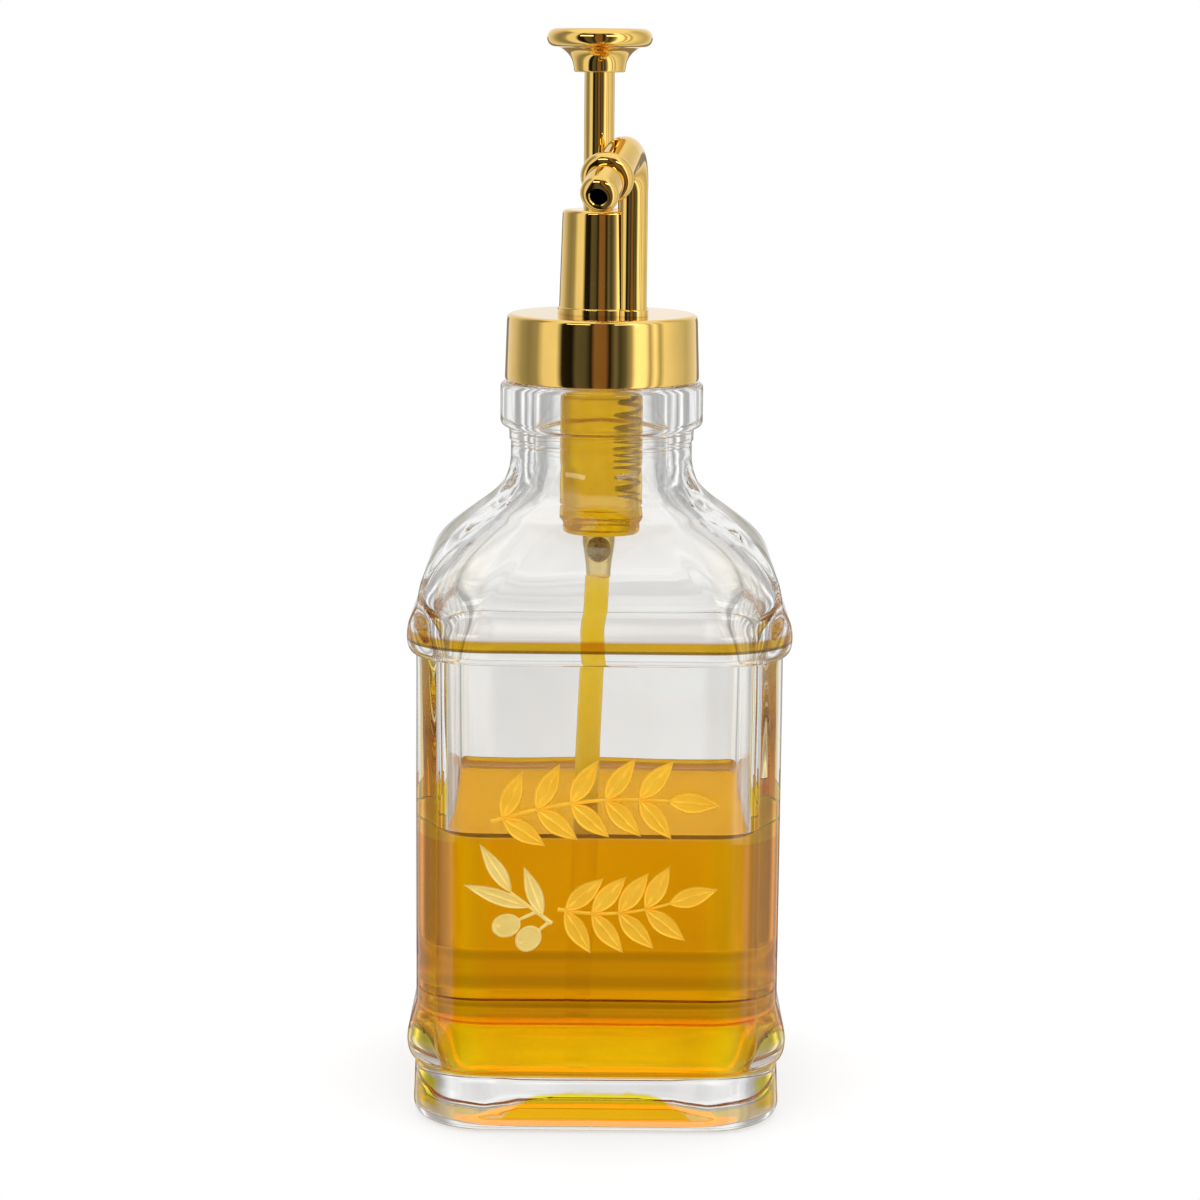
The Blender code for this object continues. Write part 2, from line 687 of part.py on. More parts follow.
def leaf_outline(root, tip, half):
    """A pointed leaf from its root to its tip, with the root tucked into the stem."""
    along = Vector(tip) - Vector(root)
    ahead = along.normalized()
    side = Vector((-ahead.y, ahead.x))
    root = Vector(root) - ahead * LEAF_TUCK
    length = along.length + LEAF_TUCK
    steps = 5
    outline = []
    for sign in (1, -1):
        for i in range(steps):
            t = i / steps if sign > 0 else 1 - i / steps
            wide = half * math.sin(math.pi * t**0.85)
            outline.append(tuple(root + ahead * (length * t) + side * (sign * wide)))
    return outline


def stem_outline(points, half):
    """A ribbon along points, blunt at its start and narrow at its end."""
    left, right = [], []
    for i, point in enumerate(points):
        before = Vector(points[max(i - 1, 0)])
        after = Vector(points[min(i + 1, len(points) - 1)])
        along = (after - before).normalized()
        side = Vector((-along.y, along.x)) * (half * (1.0 - 0.5 * i / (len(points) - 1)))
        left.append(tuple(Vector(point) + side))
        right.append(tuple(Vector(point) - side))
    return left + right[::-1]


def olive_outline(centre, tilt):
    """An oval, its long way tilted up from +X by tilt degrees."""
    ahead = Vector((math.cos(math.radians(tilt)), math.sin(math.radians(tilt))))
    side = Vector((-ahead.y, ahead.x))
    turns = [math.tau * i / 12 for i in range(12)]
    return [
        tuple(Vector(centre) + ahead * (OLIVE_LONG * math.cos(a)) + side * (OLIVE_SHORT * math.sin(a)))
        for a in turns
    ]


def bowed(ends, bow):
    """Points along a stem that rises by half of bow in its middle."""
    start, end = (Vector(p) for p in ends)
    middle = (start + end) / 2 + Vector((0.0, bow))
    count = 12
    shares = [i / count for i in range(count + 1)]
    return [start * (1 - t) ** 2 + middle * (2 * t * (1 - t)) + end * t**2 for t in shares]


def paired_leaves(stem, first, pairs):
    """Roots and tips of leaves in pairs from the share first of the stem on, and one at its end."""
    last = len(stem) - 1
    places = [(first + (1.0 - first) / pairs * i, side * LEAF_TURN) for i in range(pairs) for side in (1, -1)]
    leaves = []
    for share, turn in places + [(0.97, 0.0)]:
        low = int(share * last)
        along = stem[low + 1] - stem[low]
        root = stem[low] + along * (share * last - low)
        heading = math.atan2(along.y, along.x) + math.radians(turn)
        leaves.append((root, root + Vector((math.cos(heading), math.sin(heading))) * LEAF_LENGTH))
    return leaves


def relief(name, outlines, parts, cutters):
    """The outlines as thin raised shapes on the front face, joined in one solid."""
    pieces = bpy.data.collections.new(name + "_pieces")
    cutters.children.link(pieces)
    base = meshed(flat_shape(name, outlines[0], parts), ORNAMENT_GOLD, parts)
    for i, outline in enumerate(outlines[1:]):
        made = meshed(flat_shape(f"{name}_piece_{i}", outline, pieces), None, pieces)
        # Shapes that cross stand at three depths, so no two faces lie in one plane
        made.location.y -= STEP_BACK * (i % 3 + 1)
        as_cutter(made)
    modifier = base.modifiers.new("union", "BOOLEAN")
    modifier.operation = "UNION"
    modifier.solver = "MANIFOLD"
    modifier.operand_type = "COLLECTION"
    modifier.collection = pieces


def make_branch(name, ends, bow, pairs, parts, cutters):
    """A bowed stem with pairs of leaves along it."""
    stem = bowed(ends, bow)
    leaves = [leaf_outline(root, tip, LEAF_HALF) for root, tip in paired_leaves(stem, 0.06, pairs)]
    relief(name, [stem_outline(stem, STEM_HALF)] + leaves, parts, cutters)


def make_sprig(parts, cutters):
    """A stem with three leaves and two olives on stalks."""
    outlines = [stem_outline(bowed(SPRIG_STEM, 0.0), STEM_HALF)]
    outlines += [leaf_outline(root, tip, SPRIG_LEAF_HALF) for root, tip in SPRIG_LEAVES]
    for centre, root, tilt in SPRIG_OLIVES:
        outlines.append(stem_outline([root, centre], STEM_HALF))
        outlines.append(olive_outline(centre, tilt))
    relief("olive_sprig", outlines, parts, cutters)


def make_ornament(parts, cutters):
    """Two bold leafy branches one above the other, and a small sprig at their lower left."""
    make_branch("branch_upper", UPPER_STEM, UPPER_BOW, UPPER_PAIRS, parts, cutters)
    make_branch("branch_lower", LOWER_STEM, LOWER_BOW, LOWER_PAIRS, parts, cutters)
    make_sprig(parts, cutters)


def main():
    clear_scene()
    parts = new_collection("olive_oil_bottle")
    cutters = new_collection("cutters")
    make_bottle(parts)
    make_tube(parts, cutters)
    make_oil(parts, cutters)
    make_cap(parts)
    make_tower(parts, cutters)
    make_nozzle(parts)
    make_plunger(parts)
    make_housing(parts, cutters)
    make_spring(parts)
    make_tail(parts)
    make_ornament(parts, cutters)


main()
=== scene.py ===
"""Looks for the olive oil bottle: glass, oil, gold pump and raised gold ornament, in a plain pale studio."""

import math

import bmesh
import bpy
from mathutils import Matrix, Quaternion, Vector, noise


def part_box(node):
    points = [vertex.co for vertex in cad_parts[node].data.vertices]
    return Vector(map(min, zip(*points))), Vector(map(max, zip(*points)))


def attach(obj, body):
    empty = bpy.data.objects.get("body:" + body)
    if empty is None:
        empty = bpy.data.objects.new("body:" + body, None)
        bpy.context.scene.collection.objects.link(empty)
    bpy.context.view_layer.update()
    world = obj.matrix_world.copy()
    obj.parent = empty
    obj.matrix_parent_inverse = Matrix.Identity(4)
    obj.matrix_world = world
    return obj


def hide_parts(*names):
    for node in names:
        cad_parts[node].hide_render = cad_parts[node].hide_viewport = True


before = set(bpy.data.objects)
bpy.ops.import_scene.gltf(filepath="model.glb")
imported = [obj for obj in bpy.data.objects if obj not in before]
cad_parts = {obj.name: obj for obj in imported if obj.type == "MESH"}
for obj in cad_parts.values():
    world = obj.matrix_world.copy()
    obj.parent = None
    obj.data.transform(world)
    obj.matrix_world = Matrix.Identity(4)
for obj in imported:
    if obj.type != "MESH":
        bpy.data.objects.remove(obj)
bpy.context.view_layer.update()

MM = 0.001


def mm(*lengths):
    """Lengths in metres, from millimetres."""
    return tuple(length * MM for length in lengths)


def degrees(*angles):
    """Angles in radians, from degrees."""
    return tuple(math.radians(angle) for angle in angles)


# The frame's own boxes give the places that the pieces keep
LIP_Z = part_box("glass_bottle")[1].z
OIL_LEVEL_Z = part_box("oil")[1].z
HOUSING_FOOT_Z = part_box("pump_housing")[0].z
CAP_LOW, CAP_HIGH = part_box("cap")
TAIL_LOW, TAIL_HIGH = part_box("inlet_tail")
KNOB_LOW, KNOB_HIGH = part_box("plunger_knob")
ROD_LOW, ROD_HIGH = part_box("plunger_rod")
BALL_LOW, BALL_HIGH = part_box("check_ball")

# Bottle, as the frame has it
BODY_HALF = 37.5 * MM
BODY_CORNER = 15.0 * MM
FOOT_HALF = 38.0 * MM
FOOT_FILLET = 2.6 * MM
PUNT_HALF = 27.0 * MM
PUNT_DEPTH = 0.8 * MM
LOWER_RIDGE_Z = 15.8 * MM
UPPER_RIDGE_Z = 101.0 * MM
RIDGE_REACH = 1.9 * MM
RIDGE_UNDER = 3.6 * MM
RIDGE_OVER = 8.5 * MM
SHOULDER_Z = 108.5 * MM
INFLECTION_Z = 125.0 * MM
INFLECTION_R = 24.5 * MM
TILT_R = math.cos(math.radians(38.0))
TILT_Z = math.sin(math.radians(38.0))
NECK_Z = 135.5 * MM
NECK_R = 18.9 * MM
NECK_STEP_Z = 138.6 * MM
BEAD_R = 21.1 * MM
BEAD_LOW_Z = 141.2 * MM
BEAD_TOP_Z = 150.6 * MM
FINISH_R = 17.6 * MM
WALL = 3.5 * MM
MOUTH_R = 14.2 * MM
INNER_FLOOR_Z = 11.2 * MM
INNER_FLOOR_FILLET = 6.0 * MM
OIL_REACH = 0.12 * MM
INNER_WAVER = 0.30 * MM
CORNER_EVEN_Z = 98.0 * MM
OUTER_WAVER = 0.12 * MM
CREASE = 0.20 * MM
CREASE_LOW = 104.5 * MM
CREASE_TOP = 134.5 * MM
CREASE_TURNS = ((24.0, 3.0), (38.0, 4.0), (58.0, 4.0))
CAVITY_CORNER = 6.0 * MM
CAVITY_NARROW = 2.6 * MM
MENISCUS = 1.5 * MM
MENISCUS_REACH = 3.6 * MM

# Pump, as the frame has it
PUMP_X = (ROD_LOW.x + ROD_HIGH.x) / 2
CAP_TOP_Z = CAP_HIGH.z
CAP_TOP_R = 19.7 * MM
CAP_FOOT_R = 20.2 * MM
CAP_EDGE = 0.9 * MM
CAP_PLATE = 1.2 * MM
CAP_HOLE_R = 7.0 * MM
ROD_R = 3.1 * MM
TOWER_TOP_Z = 186.0 * MM
TOWER_TOP_R = 8.4 * MM
TOWER_FOOT_R = 9.0 * MM
TOWER_FLANGE_R = 9.3 * MM
TOWER_FLANGE = 1.2 * MM
TOWER_EDGE = 0.8 * MM
RISER_X = 5.0 * MM
RISER_Y = -6.5 * MM
RISER_R = 3.05 * MM
RISER_FOOT_R = 3.4 * MM
ARCH_TOP_Z = 200.7 * MM
ARCH_BEND_R = 8.0 * MM
SPOUT_HEADING = math.radians(13.0)
SPOUT_SLOPE = math.radians(24.0)
SPOUT_END_R = 3.9 * MM
SPOUT_REACH = 19.0 * MM
COLLAR_R = 5.4 * MM
COLLAR_LENGTH = 3.6 * MM
NOZZLE_R = 3.9 * MM
NOZZLE_LENGTH = 8.8 * MM
NOZZLE_EDGE = 0.7 * MM
NOZZLE_HOLE_R = 1.72 * MM
NOZZLE_HOLE_DEPTH = 5.0 * MM
KNOB_RIM = 1.9 * MM
KNOB_R = 10.8 * MM
KNOB_HUB_R = 5.25 * MM
HOUSING_R = 8.5 * MM
HOUSING_FOOT_R = 8.2 * MM
TAIL_R = 3.4 * MM
TAIL_FOOT_R = 2.6 * MM
SPRING_X = 4.75 * MM
SPRING_TURNS = 9.4
SPRING_STEPS = 28
SPRING_LOW_Z = 124.3 * MM
SPRING_TOP_Z = 146.0 * MM
SPRING_R = 1.7 * MM
SPRING_GROWTH = 0.7 * MM
WIRE_R = 0.35 * MM
TUBE_R = 2.6 * MM
TUBE_FOOT_X = -4.2 * MM
TUBE_TOP_X = -0.7 * MM

# Ornament, as the frame has it, on the front face
PLATE_Y = 0.2 * MM - BODY_HALF
RELIEF = 0.5 * MM
STEM_HALF = 0.5 * MM
STEM_RISE = 0.3 * MM
STEM_STEPS = 24
LEAF_LENGTH = 10.5 * MM
LEAF_HALF = 2.1 * MM
LEAF_TURN = 50.0
LEAF_RIM = 0.26 * MM
BRANCHES = [
    ("gold_branch_upper", "branch_upper", (mm(-21.5, 65.5), mm(15.0, 70.0)), 4.0 * MM, 5),
    ("gold_branch_lower", "branch_lower", (mm(-8.0, 47.5), mm(15.0, 49.0)), -3.0 * MM, 4),
]
SPRIG_STEM = (mm(-9.2, 44.5), mm(-17.6, 51.0))
SPRIG_LEAVES = [
    (mm(-17.3, 50.8), mm(-23.8, 60.9)), (mm(-13.8, 47.8), mm(-27.0, 52.4)),
    (mm(-11.0, 46.0), mm(-14.9, 56.4)),
]
SPRIG_LEAF_HALF = 1.7 * MM
SPRIG_OLIVES = [(mm(-18.4, 44.0), mm(-12.5, 46.8), 20.0), (mm(-13.9, 41.3), mm(-9.6, 44.9), 50.0)]
OLIVE_LONG = 3.0 * MM
OLIVE_SHORT = 2.5 * MM

# Points round a quarter of the body, and round a turned piece
FINE_CORNER = 20
FINE_TURN = 128


# Materials

def set_inputs(made, inputs):
    """Constants for a node's sockets, by their names with _ for each space."""
    for key, value in inputs.items():
        made.inputs[key.replace("_", " ")].default_value = value
    return made


def new_material(name, **inputs):
    made = bpy.data.materials.new(name)
    made.use_nodes = True
    tree = made.node_tree
    return made, tree, set_inputs(tree.nodes["Principled BSDF"], inputs)


def node(tree, kind, **inputs):
    return set_inputs(tree.nodes.new(kind), inputs)


def maths(tree, operation, *values):
    made = tree.nodes.new("ShaderNodeMath")
    made.operation = operation
    for index, value in enumerate(values):
        if isinstance(value, (int, float)):
            made.inputs[index].default_value = value
        else:
            tree.links.new(value, made.inputs[index])
    return made.outputs[0]


def product(tree, *values):
    result = values[0]
    for value in values[1:]:
        result = maths(tree, "MULTIPLY", result, value)
    return result


def map_range(tree, source, low, high, start, end, smooth=False):
    made = node(tree, "ShaderNodeMapRange", From_Min=low, From_Max=high, To_Min=start, To_Max=end)
    made.interpolation_type = "SMOOTHSTEP" if smooth else "LINEAR"
    tree.links.new(source, made.inputs["Value"])
    return made.outputs["Result"]


def step_up(tree, value, low, high):
    """Smoothly 0 below low and 1 above high, or the reverse where low is the greater."""
    if low > high:
        return map_range(tree, value, high, low, 1.0, 0.0, True)
    return map_range(tree, value, low, high, 0.0, 1.0, True)


def band(tree, value, edges):
    """Rises from 0 to 1 between the first two edges, and falls back between the last two."""
    start, full, ease, end = edges
    return product(tree, step_up(tree, value, start, full), step_up(tree, value, end, ease))


def mix_colours(tree, factor, low, high):
    """The low colour where the factor is 0 and the high one where it is 1; each is a tuple or a socket."""
    made = tree.nodes.new("ShaderNodeMix")
    made.data_type = "RGBA"
    tree.links.new(factor, made.inputs["Factor"])
    for key, value in (("A", low), ("B", high)):
        if isinstance(value, tuple):
            made.inputs[key].default_value = (*value, 1.0)
        else:
            tree.links.new(value, made.inputs[key])
    return made.outputs["Result"]


def axes(tree, vector):
    split = tree.nodes.new("ShaderNodeSeparateXYZ")
    tree.links.new(vector, split.inputs["Vector"])
    return split.outputs


def object_coordinates(tree):
    return tree.nodes.new("ShaderNodeTexCoord").outputs["Object"]


def noise_field(tree, scale, detail=3.0, roughness=0.5):
    field = node(tree, "ShaderNodeTexNoise", Scale=scale, Detail=detail, Roughness=roughness)
    tree.links.new(object_coordinates(tree), field.inputs["Vector"])
    return field.outputs["Fac"]


def spread(tree, source, low, high):
    """A noise of about 0.3 to 0.7 mapped to low to high."""
    return map_range(tree, source, 0.3, 0.7, low, high)


def colour_ramp(tree, source, stops):
    """A colour for each place of the source, from stops of (place, colour)."""
    made = tree.nodes.new("ShaderNodeValToRGB")
    points = made.color_ramp.elements
    points.remove(points[-1])
    for i, (place, colour) in enumerate(stops):
        point = points[0] if i == 0 else points.new(place)
        point.position = place
        point.color = (*colour, 1.0)
    tree.links.new(source, made.inputs["Fac"])
    return made.outputs["Color"]


def blend_colours(tree, source, low, high):
    return colour_ramp(tree, source, [(0.3, low), (0.7, high)])


def bump(tree, shader, source, distance, strength=1.0):
    made = node(tree, "ShaderNodeBump", Strength=strength, Distance=distance)
    tree.links.new(source, made.inputs["Height"])
    tree.links.new(made.outputs["Normal"], shader.inputs["Normal"])


def absorb(tree, colour, density):
    volume = tree.nodes.new("ShaderNodeVolumeAbsorption")
    volume.inputs["Color"].default_value = (*colour, 1.0)
    volume.inputs["Density"].default_value = density
    tree.links.new(volume.outputs["Volume"], tree.nodes["Material Output"].inputs["Volume"])


# Painted reflections: the oil's colour as the outer wall shows it, where thick glass mirrors and bends it,
# painted on the glass, with a painted shade line under the upper ridge, and a near clear colour for the inner
# corners. A band rises between its first two edges and falls between its last two; a slope goes from its
# first to its second
RIDGE_AMBER = (0.52, 0.185, 0.0005)
BASE_AMBER = (0.93, 0.65, 0.001)
RIDGE_DARK = (0.10, 0.035, 0.0005)
SIDE_AMBER = (0.86, 0.55, 0.004)
CORNER_AMBER = (0.78, 0.46, 0.01)
CLEAR_CORNER = (0.975, 0.955, 0.90)
OUTER_SLOPE = (BODY_CORNER - 2.2 * MM, BODY_CORNER - 1.6 * MM)
RIDGE_BAND = mm(100.4, 100.8, 102.4, 103.2)
DARK_BAND = mm(100.2, 100.4, 100.8, 101.1)
RIDGE_FRONT = mm(20.0, -5.0)
CORNER_BAND = mm(62.0, 68.0, 98.6, 99.4)
CORNER_TURN = degrees(17, 25, 42, 50)
CORNER_FRONT = mm(-10.0, -18.0)
CORNER_STREAKS = 380.0
STREAK_STRETCH = 0.10
SIDE_BAND = (12.5 * MM, 18.0 * MM, OIL_LEVEL_Z - 0.6 * MM, OIL_LEVEL_Z)
SIDE_SLOPE = mm(26.0, 31.0)
DEPTH_SLOPE = mm(40.0, 41.0)
CLEAR_SLOPE = mm(22.0, 27.0)
ARCH_TOP = 8.9 * MM
ARCH_FOOT = 3.3 * MM
ARCH_HALF = 19.5 * MM
ARCH_SAG = 6.0 * MM
CLOUD_SIZE = 4.0 * MM
WEDGE_FOOT = mm(3.6, 4.4)
WEDGE_TOP = mm(11.2, 10.0)
WEDGE_TURN = degrees(12, 22, 44, 56)
BASE_FRONT = mm(30.0, 15.0)


def ridge_masks(tree, height, front):
    """The oil's painted reflection as an amber band along the upper ridge, and a painted shade line under it.
    """
    before = step_up(tree, front, *RIDGE_FRONT)
    return [product(tree, band(tree, height, edges), before) for edges in (RIDGE_BAND, DARK_BAND)]


def corner_mask(tree, height, front, turn):
    """Painted streaks of the oil's reflection down the front corners, from the ridge to the oil."""
    stretch = tree.nodes.new("ShaderNodeMapping")
    stretch.inputs["Scale"].default_value = (1.0, 1.0, STREAK_STRETCH)
    tree.links.new(object_coordinates(tree), stretch.inputs["Vector"])
    streaks = node(tree, "ShaderNodeTexNoise", Scale=CORNER_STREAKS, Detail=2.0, Roughness=0.5)
    tree.links.new(stretch.outputs["Vector"], streaks.inputs["Vector"])
    return product(
        tree, band(tree, turn, CORNER_TURN), band(tree, height, CORNER_BAND),
        step_up(tree, front, *CORNER_FRONT), spread(tree, streaks.outputs["Fac"], 0.70, 1.2),
    )


def base_mask(tree, height, front, turn, off_middle):
    """The arch of oil mirrored in the base, painted as a reflection on each of the four sides, with more at
    the corners.
    """
    cloud = maths(tree, "MULTIPLY", maths(tree, "SUBTRACT", noise_field(tree, 130.0, 3.0), 0.5), CLOUD_SIZE)
    share = maths(tree, "POWER", maths(tree, "DIVIDE", off_middle, ARCH_HALF), 4.0)
    sag = maths(tree, "ADD", maths(tree, "MULTIPLY", share, ARCH_SAG), cloud)
    top = maths(tree, "ADD", maths(tree, "SUBTRACT", height, ARCH_TOP), sag)
    arch = product(
        tree, step_up(tree, top, 0.4 * MM, -0.4 * MM), step_up(tree, height, ARCH_FOOT - 0.6 * MM, ARCH_FOOT),
        step_up(tree, off_middle, ARCH_HALF + 1.0 * MM, ARCH_HALF),
    )
    wedge = product(
        tree, step_up(tree, maths(tree, "ADD", height, cloud), *WEDGE_FOOT),
        step_up(tree, maths(tree, "SUBTRACT", height, cloud), *WEDGE_TOP), band(tree, turn, WEDGE_TURN),
    )
    return product(tree, step_up(tree, front, *BASE_FRONT), maths(tree, "MAXIMUM", arch, wedge))


def painted(tree):
    """Each painted colour with the mask of where the glass carries it, in the order that they are laid on."""
    across, front, height = axes(tree, object_coordinates(tree))
    flat = BODY_HALF - BODY_CORNER
    side = maths(tree, "ABSOLUTE", across)
    depth = maths(tree, "ABSOLUTE", front)
    past = [maths(tree, "MAXIMUM", maths(tree, "SUBTRACT", way, flat), 0.0) for way in (side, depth)]
    squares = [maths(tree, "POWER", part, 2.0) for part in past]
    outer = step_up(tree, maths(tree, "SQRT", maths(tree, "ADD", *squares)), *OUTER_SLOPE)
    turn = maths(tree, "ARCTAN2", past[1], past[0])
    ridge, dark_line = ridge_masks(tree, height, front)
    base = base_mask(tree, height, front, turn, maths(tree, "MINIMUM", side, depth))
    beside = maths(tree, "MAXIMUM", step_up(tree, side, *SIDE_SLOPE), step_up(tree, depth, *DEPTH_SLOPE))
    corner = product(tree, outer, corner_mask(tree, height, front, turn))
    # In order: the oil's painted reflections in the ridge and the base, the painted shade line under the
    # ridge, the oil's painted colour down the sides below the oil and down the front corners, and the near
    # clear inner corners
    return [
        (RIDGE_AMBER, product(tree, outer, ridge)),
        (BASE_AMBER, product(tree, outer, base)),
        (RIDGE_DARK, product(tree, outer, dark_line)),
        (SIDE_AMBER, product(tree, outer, band(tree, height, SIDE_BAND), beside)),
        (CORNER_AMBER, maths(tree, "MINIMUM", corner, 1.0)),
        (CLEAR_CORNER, product(
            tree, maths(tree, "SUBTRACT", 1.0, outer), step_up(tree, side, *CLEAR_SLOPE),
            step_up(tree, depth, *CLEAR_SLOPE),
        )),
    ]


def glass_material(name, tint=1.0, low=(0.955, 0.955, 0.945), high=(0.975, 0.975, 0.965)):
    """Clear soda glass, which mirrors less where its specular tint is low, as the wall that the oil wets."""
    made, tree, shader = new_material(
        name, Transmission_Weight=1.0, IOR=1.5, Specular_Tint=(tint, tint, tint, 1.0)
    )
    colour = blend_colours(tree, noise_field(tree, 40.0), low, high)
    # The glass's colour carries the oil's painted reflections and the painted shade line under the ridge
    for amber, mask in painted(tree):
        colour = mix_colours(tree, mask, colour, amber)
    tree.links.new(colour, shader.inputs["Base Color"])
    tree.links.new(spread(tree, noise_field(tree, 90.0), 0.0, 0.012), shader.inputs["Roughness"])
    bump(tree, shader, noise_field(tree, 55.0, 1.0), 0.00006, 0.6)
    return made


def finish(tree, shader, colours, scale, rough, rough_scale, detail=3.0):
    """Colour and roughness that vary a little, each with a noise of its own scale."""
    tree.links.new(blend_colours(tree, noise_field(tree, scale), *colours), shader.inputs["Base Color"])
    tree.links.new(spread(tree, noise_field(tree, rough_scale, detail), *rough), shader.inputs["Roughness"])


def oil_material(name="olive_oil", clear=1.0, low=(1.0, 0.94, 0.70), high=(1.0, 0.98, 0.80)):
    made, tree, shader = new_material(
        name, Transmission_Weight=clear, IOR=1.47, Specular_Tint=(0.1, 0.1, 0.1, 1.0)
    )
    finish(tree, shader, (low, high), 18.0, (0.0, 0.01), 30.0)
    absorb(tree, (0.9885, 0.9665, 0.0), 330.0)
    return made


def gold_material(name, colour=(0.865, 0.575, 0.155), low=0.02, high=0.06):
    made, tree, shader = new_material(name, Metallic=1.0)
    shade = tuple(c * 0.93 for c in colour)
    finish(tree, shader, (shade, colour), 160.0, (low, high), 420.0, 4.0)
    bump(tree, shader, noise_field(tree, 260.0, 2.0), 0.00001, 0.5)
    return made


def plastic_material(name, low, high, transmission, rough, ior):
    made, tree, shader = new_material(
        name, Transmission_Weight=transmission, IOR=ior, Specular_Tint=(0.25, 0.20, 0.08, 1.0)
    )
    finish(tree, shader, (low, high), 120.0, (rough * 0.7, rough * 1.3), 300.0)
    bump(tree, shader, noise_field(tree, 400.0), 0.00001, 0.4)
    return made


def steel_material():
    made, tree, shader = new_material("spring_steel", Metallic=1.0)
    finish(tree, shader, ((0.20, 0.16, 0.08), (0.34, 0.29, 0.18)), 900.0, (0.2, 0.4), 1500.0)
    return made


def ornament_material(name, low, high, rough):
    made, tree, shader = new_material(name, Metallic=0.35)
    finish(tree, shader, (low, high), 220.0, (rough * 0.8, rough * 1.2), 700.0)
    return made


FLOOR_R = 100.0 * MM
FLOOR_GLOW = 0.60
# How much light the floor sends into the glass, by its distance from the bottle as a share of FLOOR_R
FLOOR_RINGS = [
    (0.36, 0.10), (0.42, 0.32), (0.46, 0.05), (0.52, 0.20), (0.58, 0.28), (0.62, 0.02), (0.70, 0.10),
    (0.76, 0.30), (0.82, 0.12), (0.88, 0.10), (0.97, 0.32),
]


def floor_material():
    made, tree, shader = new_material(
        "studio_floor", Roughness=0.9, Specular_IOR_Level=0.1, Emission_Color=(1.0, 1.0, 1.0, 1.0)
    )
    tint = blend_colours(tree, noise_field(tree, 3.0), (0.39, 0.39, 0.39), (0.41, 0.41, 0.41))
    tree.links.new(tint, shader.inputs["Base Color"])
    sides = [maths(tree, "ABSOLUTE", axis) for axis in axes(tree, object_coordinates(tree))[:2]]
    away = maths(tree, "DIVIDE", maths(tree, "MAXIMUM", *sides), FLOOR_R)
    rings = colour_ramp(tree, away, [(place, (level, level, level)) for place, level in FLOOR_RINGS])
    paths = tree.nodes.new("ShaderNodeLightPath")
    glow = tree.nodes.new("ShaderNodeMix")
    tree.links.new(paths.outputs["Is Camera Ray"], glow.inputs["Factor"])
    tree.links.new(rings, glow.inputs["A"])
    glow.inputs["B"].default_value = FLOOR_GLOW
    tree.links.new(glow.outputs["Result"], shader.inputs["Emission Strength"])
    return made


GLASS = glass_material("clear_glass")
OILED_GLASS = glass_material("oiled_glass", 0.15)
WET_GLASS = glass_material("wet_glass", 0.05, (0.96, 0.66, 0.05), (0.98, 0.70, 0.07))
OIL = oil_material()
# The oil's top faces: a copy of the oil with a diffuse amber share that the dome lights, a painted glow
OIL_TOP = oil_material("oil_top", 0.40, (1.0, 0.46, 0.010), (1.0, 0.50, 0.015))
GOLD = gold_material("polished_gold")
# Near black for the nozzle hole's inside: painted shade in the recess
SHADED_BORE = gold_material("painted_shade_bore", (0.006, 0.004, 0.002), 0.5, 0.7)
PUMP_PLASTIC = plastic_material("pump_plastic", (1.0, 0.575, 0.003), (1.0, 0.645, 0.006), 0.70, 0.03, 1.2)
TUBE_PLASTIC = plastic_material("tube_plastic", (1.0, 0.665, 0.02), (1.0, 0.725, 0.05), 0.0, 0.20, 1.4)
TAIL_PLASTIC = plastic_material("tail_plastic", (0.84, 0.66, 0.24), (0.90, 0.72, 0.30), 0.80, 0.06, 1.15)
SUNK_PLASTIC = plastic_material("sunk_plastic", (0.96, 0.93, 0.70), (0.98, 0.95, 0.78), 1.0, 0.02, 1.01)
STEEL = steel_material()
RAISED_GOLD = ornament_material("raised_gold", (0.93, 0.50, 0.02), (0.98, 0.56, 0.03), 0.42)
PALE_GOLD = ornament_material("pale_gold", (0.86, 0.62, 0.15), (0.94, 0.72, 0.24), 0.45)


# Shapes

def arc(centre_r, centre_z, radius, start, end, steps):
    """Points on an arc in the (radius, height) plane, angles in degrees."""
    points = []
    for i in range(steps + 1):
        a = math.radians(start + (end - start) * i / steps)
        points.append((centre_r + radius * math.cos(a), centre_z + radius * math.sin(a)))
    return points


def bezier(p0, p1, p2, p3, steps):
    points = []
    for i in range(steps + 1):
        t = i / steps
        s = 1.0 - t
        weights = (s**3, 3 * s * s * t, 3 * s * t * t, t**3)
        points.append(tuple(sum(w * p[k] for w, p in zip(weights, (p0, p1, p2, p3))) for k in (0, 1)))
    return points


def line(start, end, steps):
    return [tuple(a + (b - a) * i / steps for a, b in zip(start, end)) for i in range(steps + 1)]


def new_piece(name, mesh, material, smooth_angle=40.0):
    mesh.materials.clear()
    mesh.materials.append(material)
    ob = bpy.data.objects.new(name, mesh)
    bpy.context.scene.collection.objects.link(ob)
    mesh.shade_smooth()
    mesh.set_sharp_from_angle(angle=math.radians(smooth_angle))
    return ob


def dress(ob, slot, *nodes, body="bottle"):
    """The piece rides on its body and stands for the nodes; the slot is not used."""
    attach(ob, body)
    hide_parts(*nodes)


def mesh_from(bm, name):
    mesh = bpy.data.meshes.new(name)
    bm.to_mesh(mesh)
    bm.free()
    return mesh


def shell(rings, cyclic=False):
    """Points, and quads between each outline and the next, with a face over each end unless it is cyclic."""
    count = len(rings[0])
    rows = list(range(0, len(rings) * count, count))
    faces = [] if cyclic else [tuple(range(row, row + count)) for row in (rows[0], rows[-1])]
    for low, high in zip(rows, rows[1:] + rows[:1] if cyclic else rows[1:]):
        for i in range(count):
            j = (i + 1) % count
            faces.append((low + i, low + j, high + j, high + i))
    return [point for ring in rings for point in ring], faces


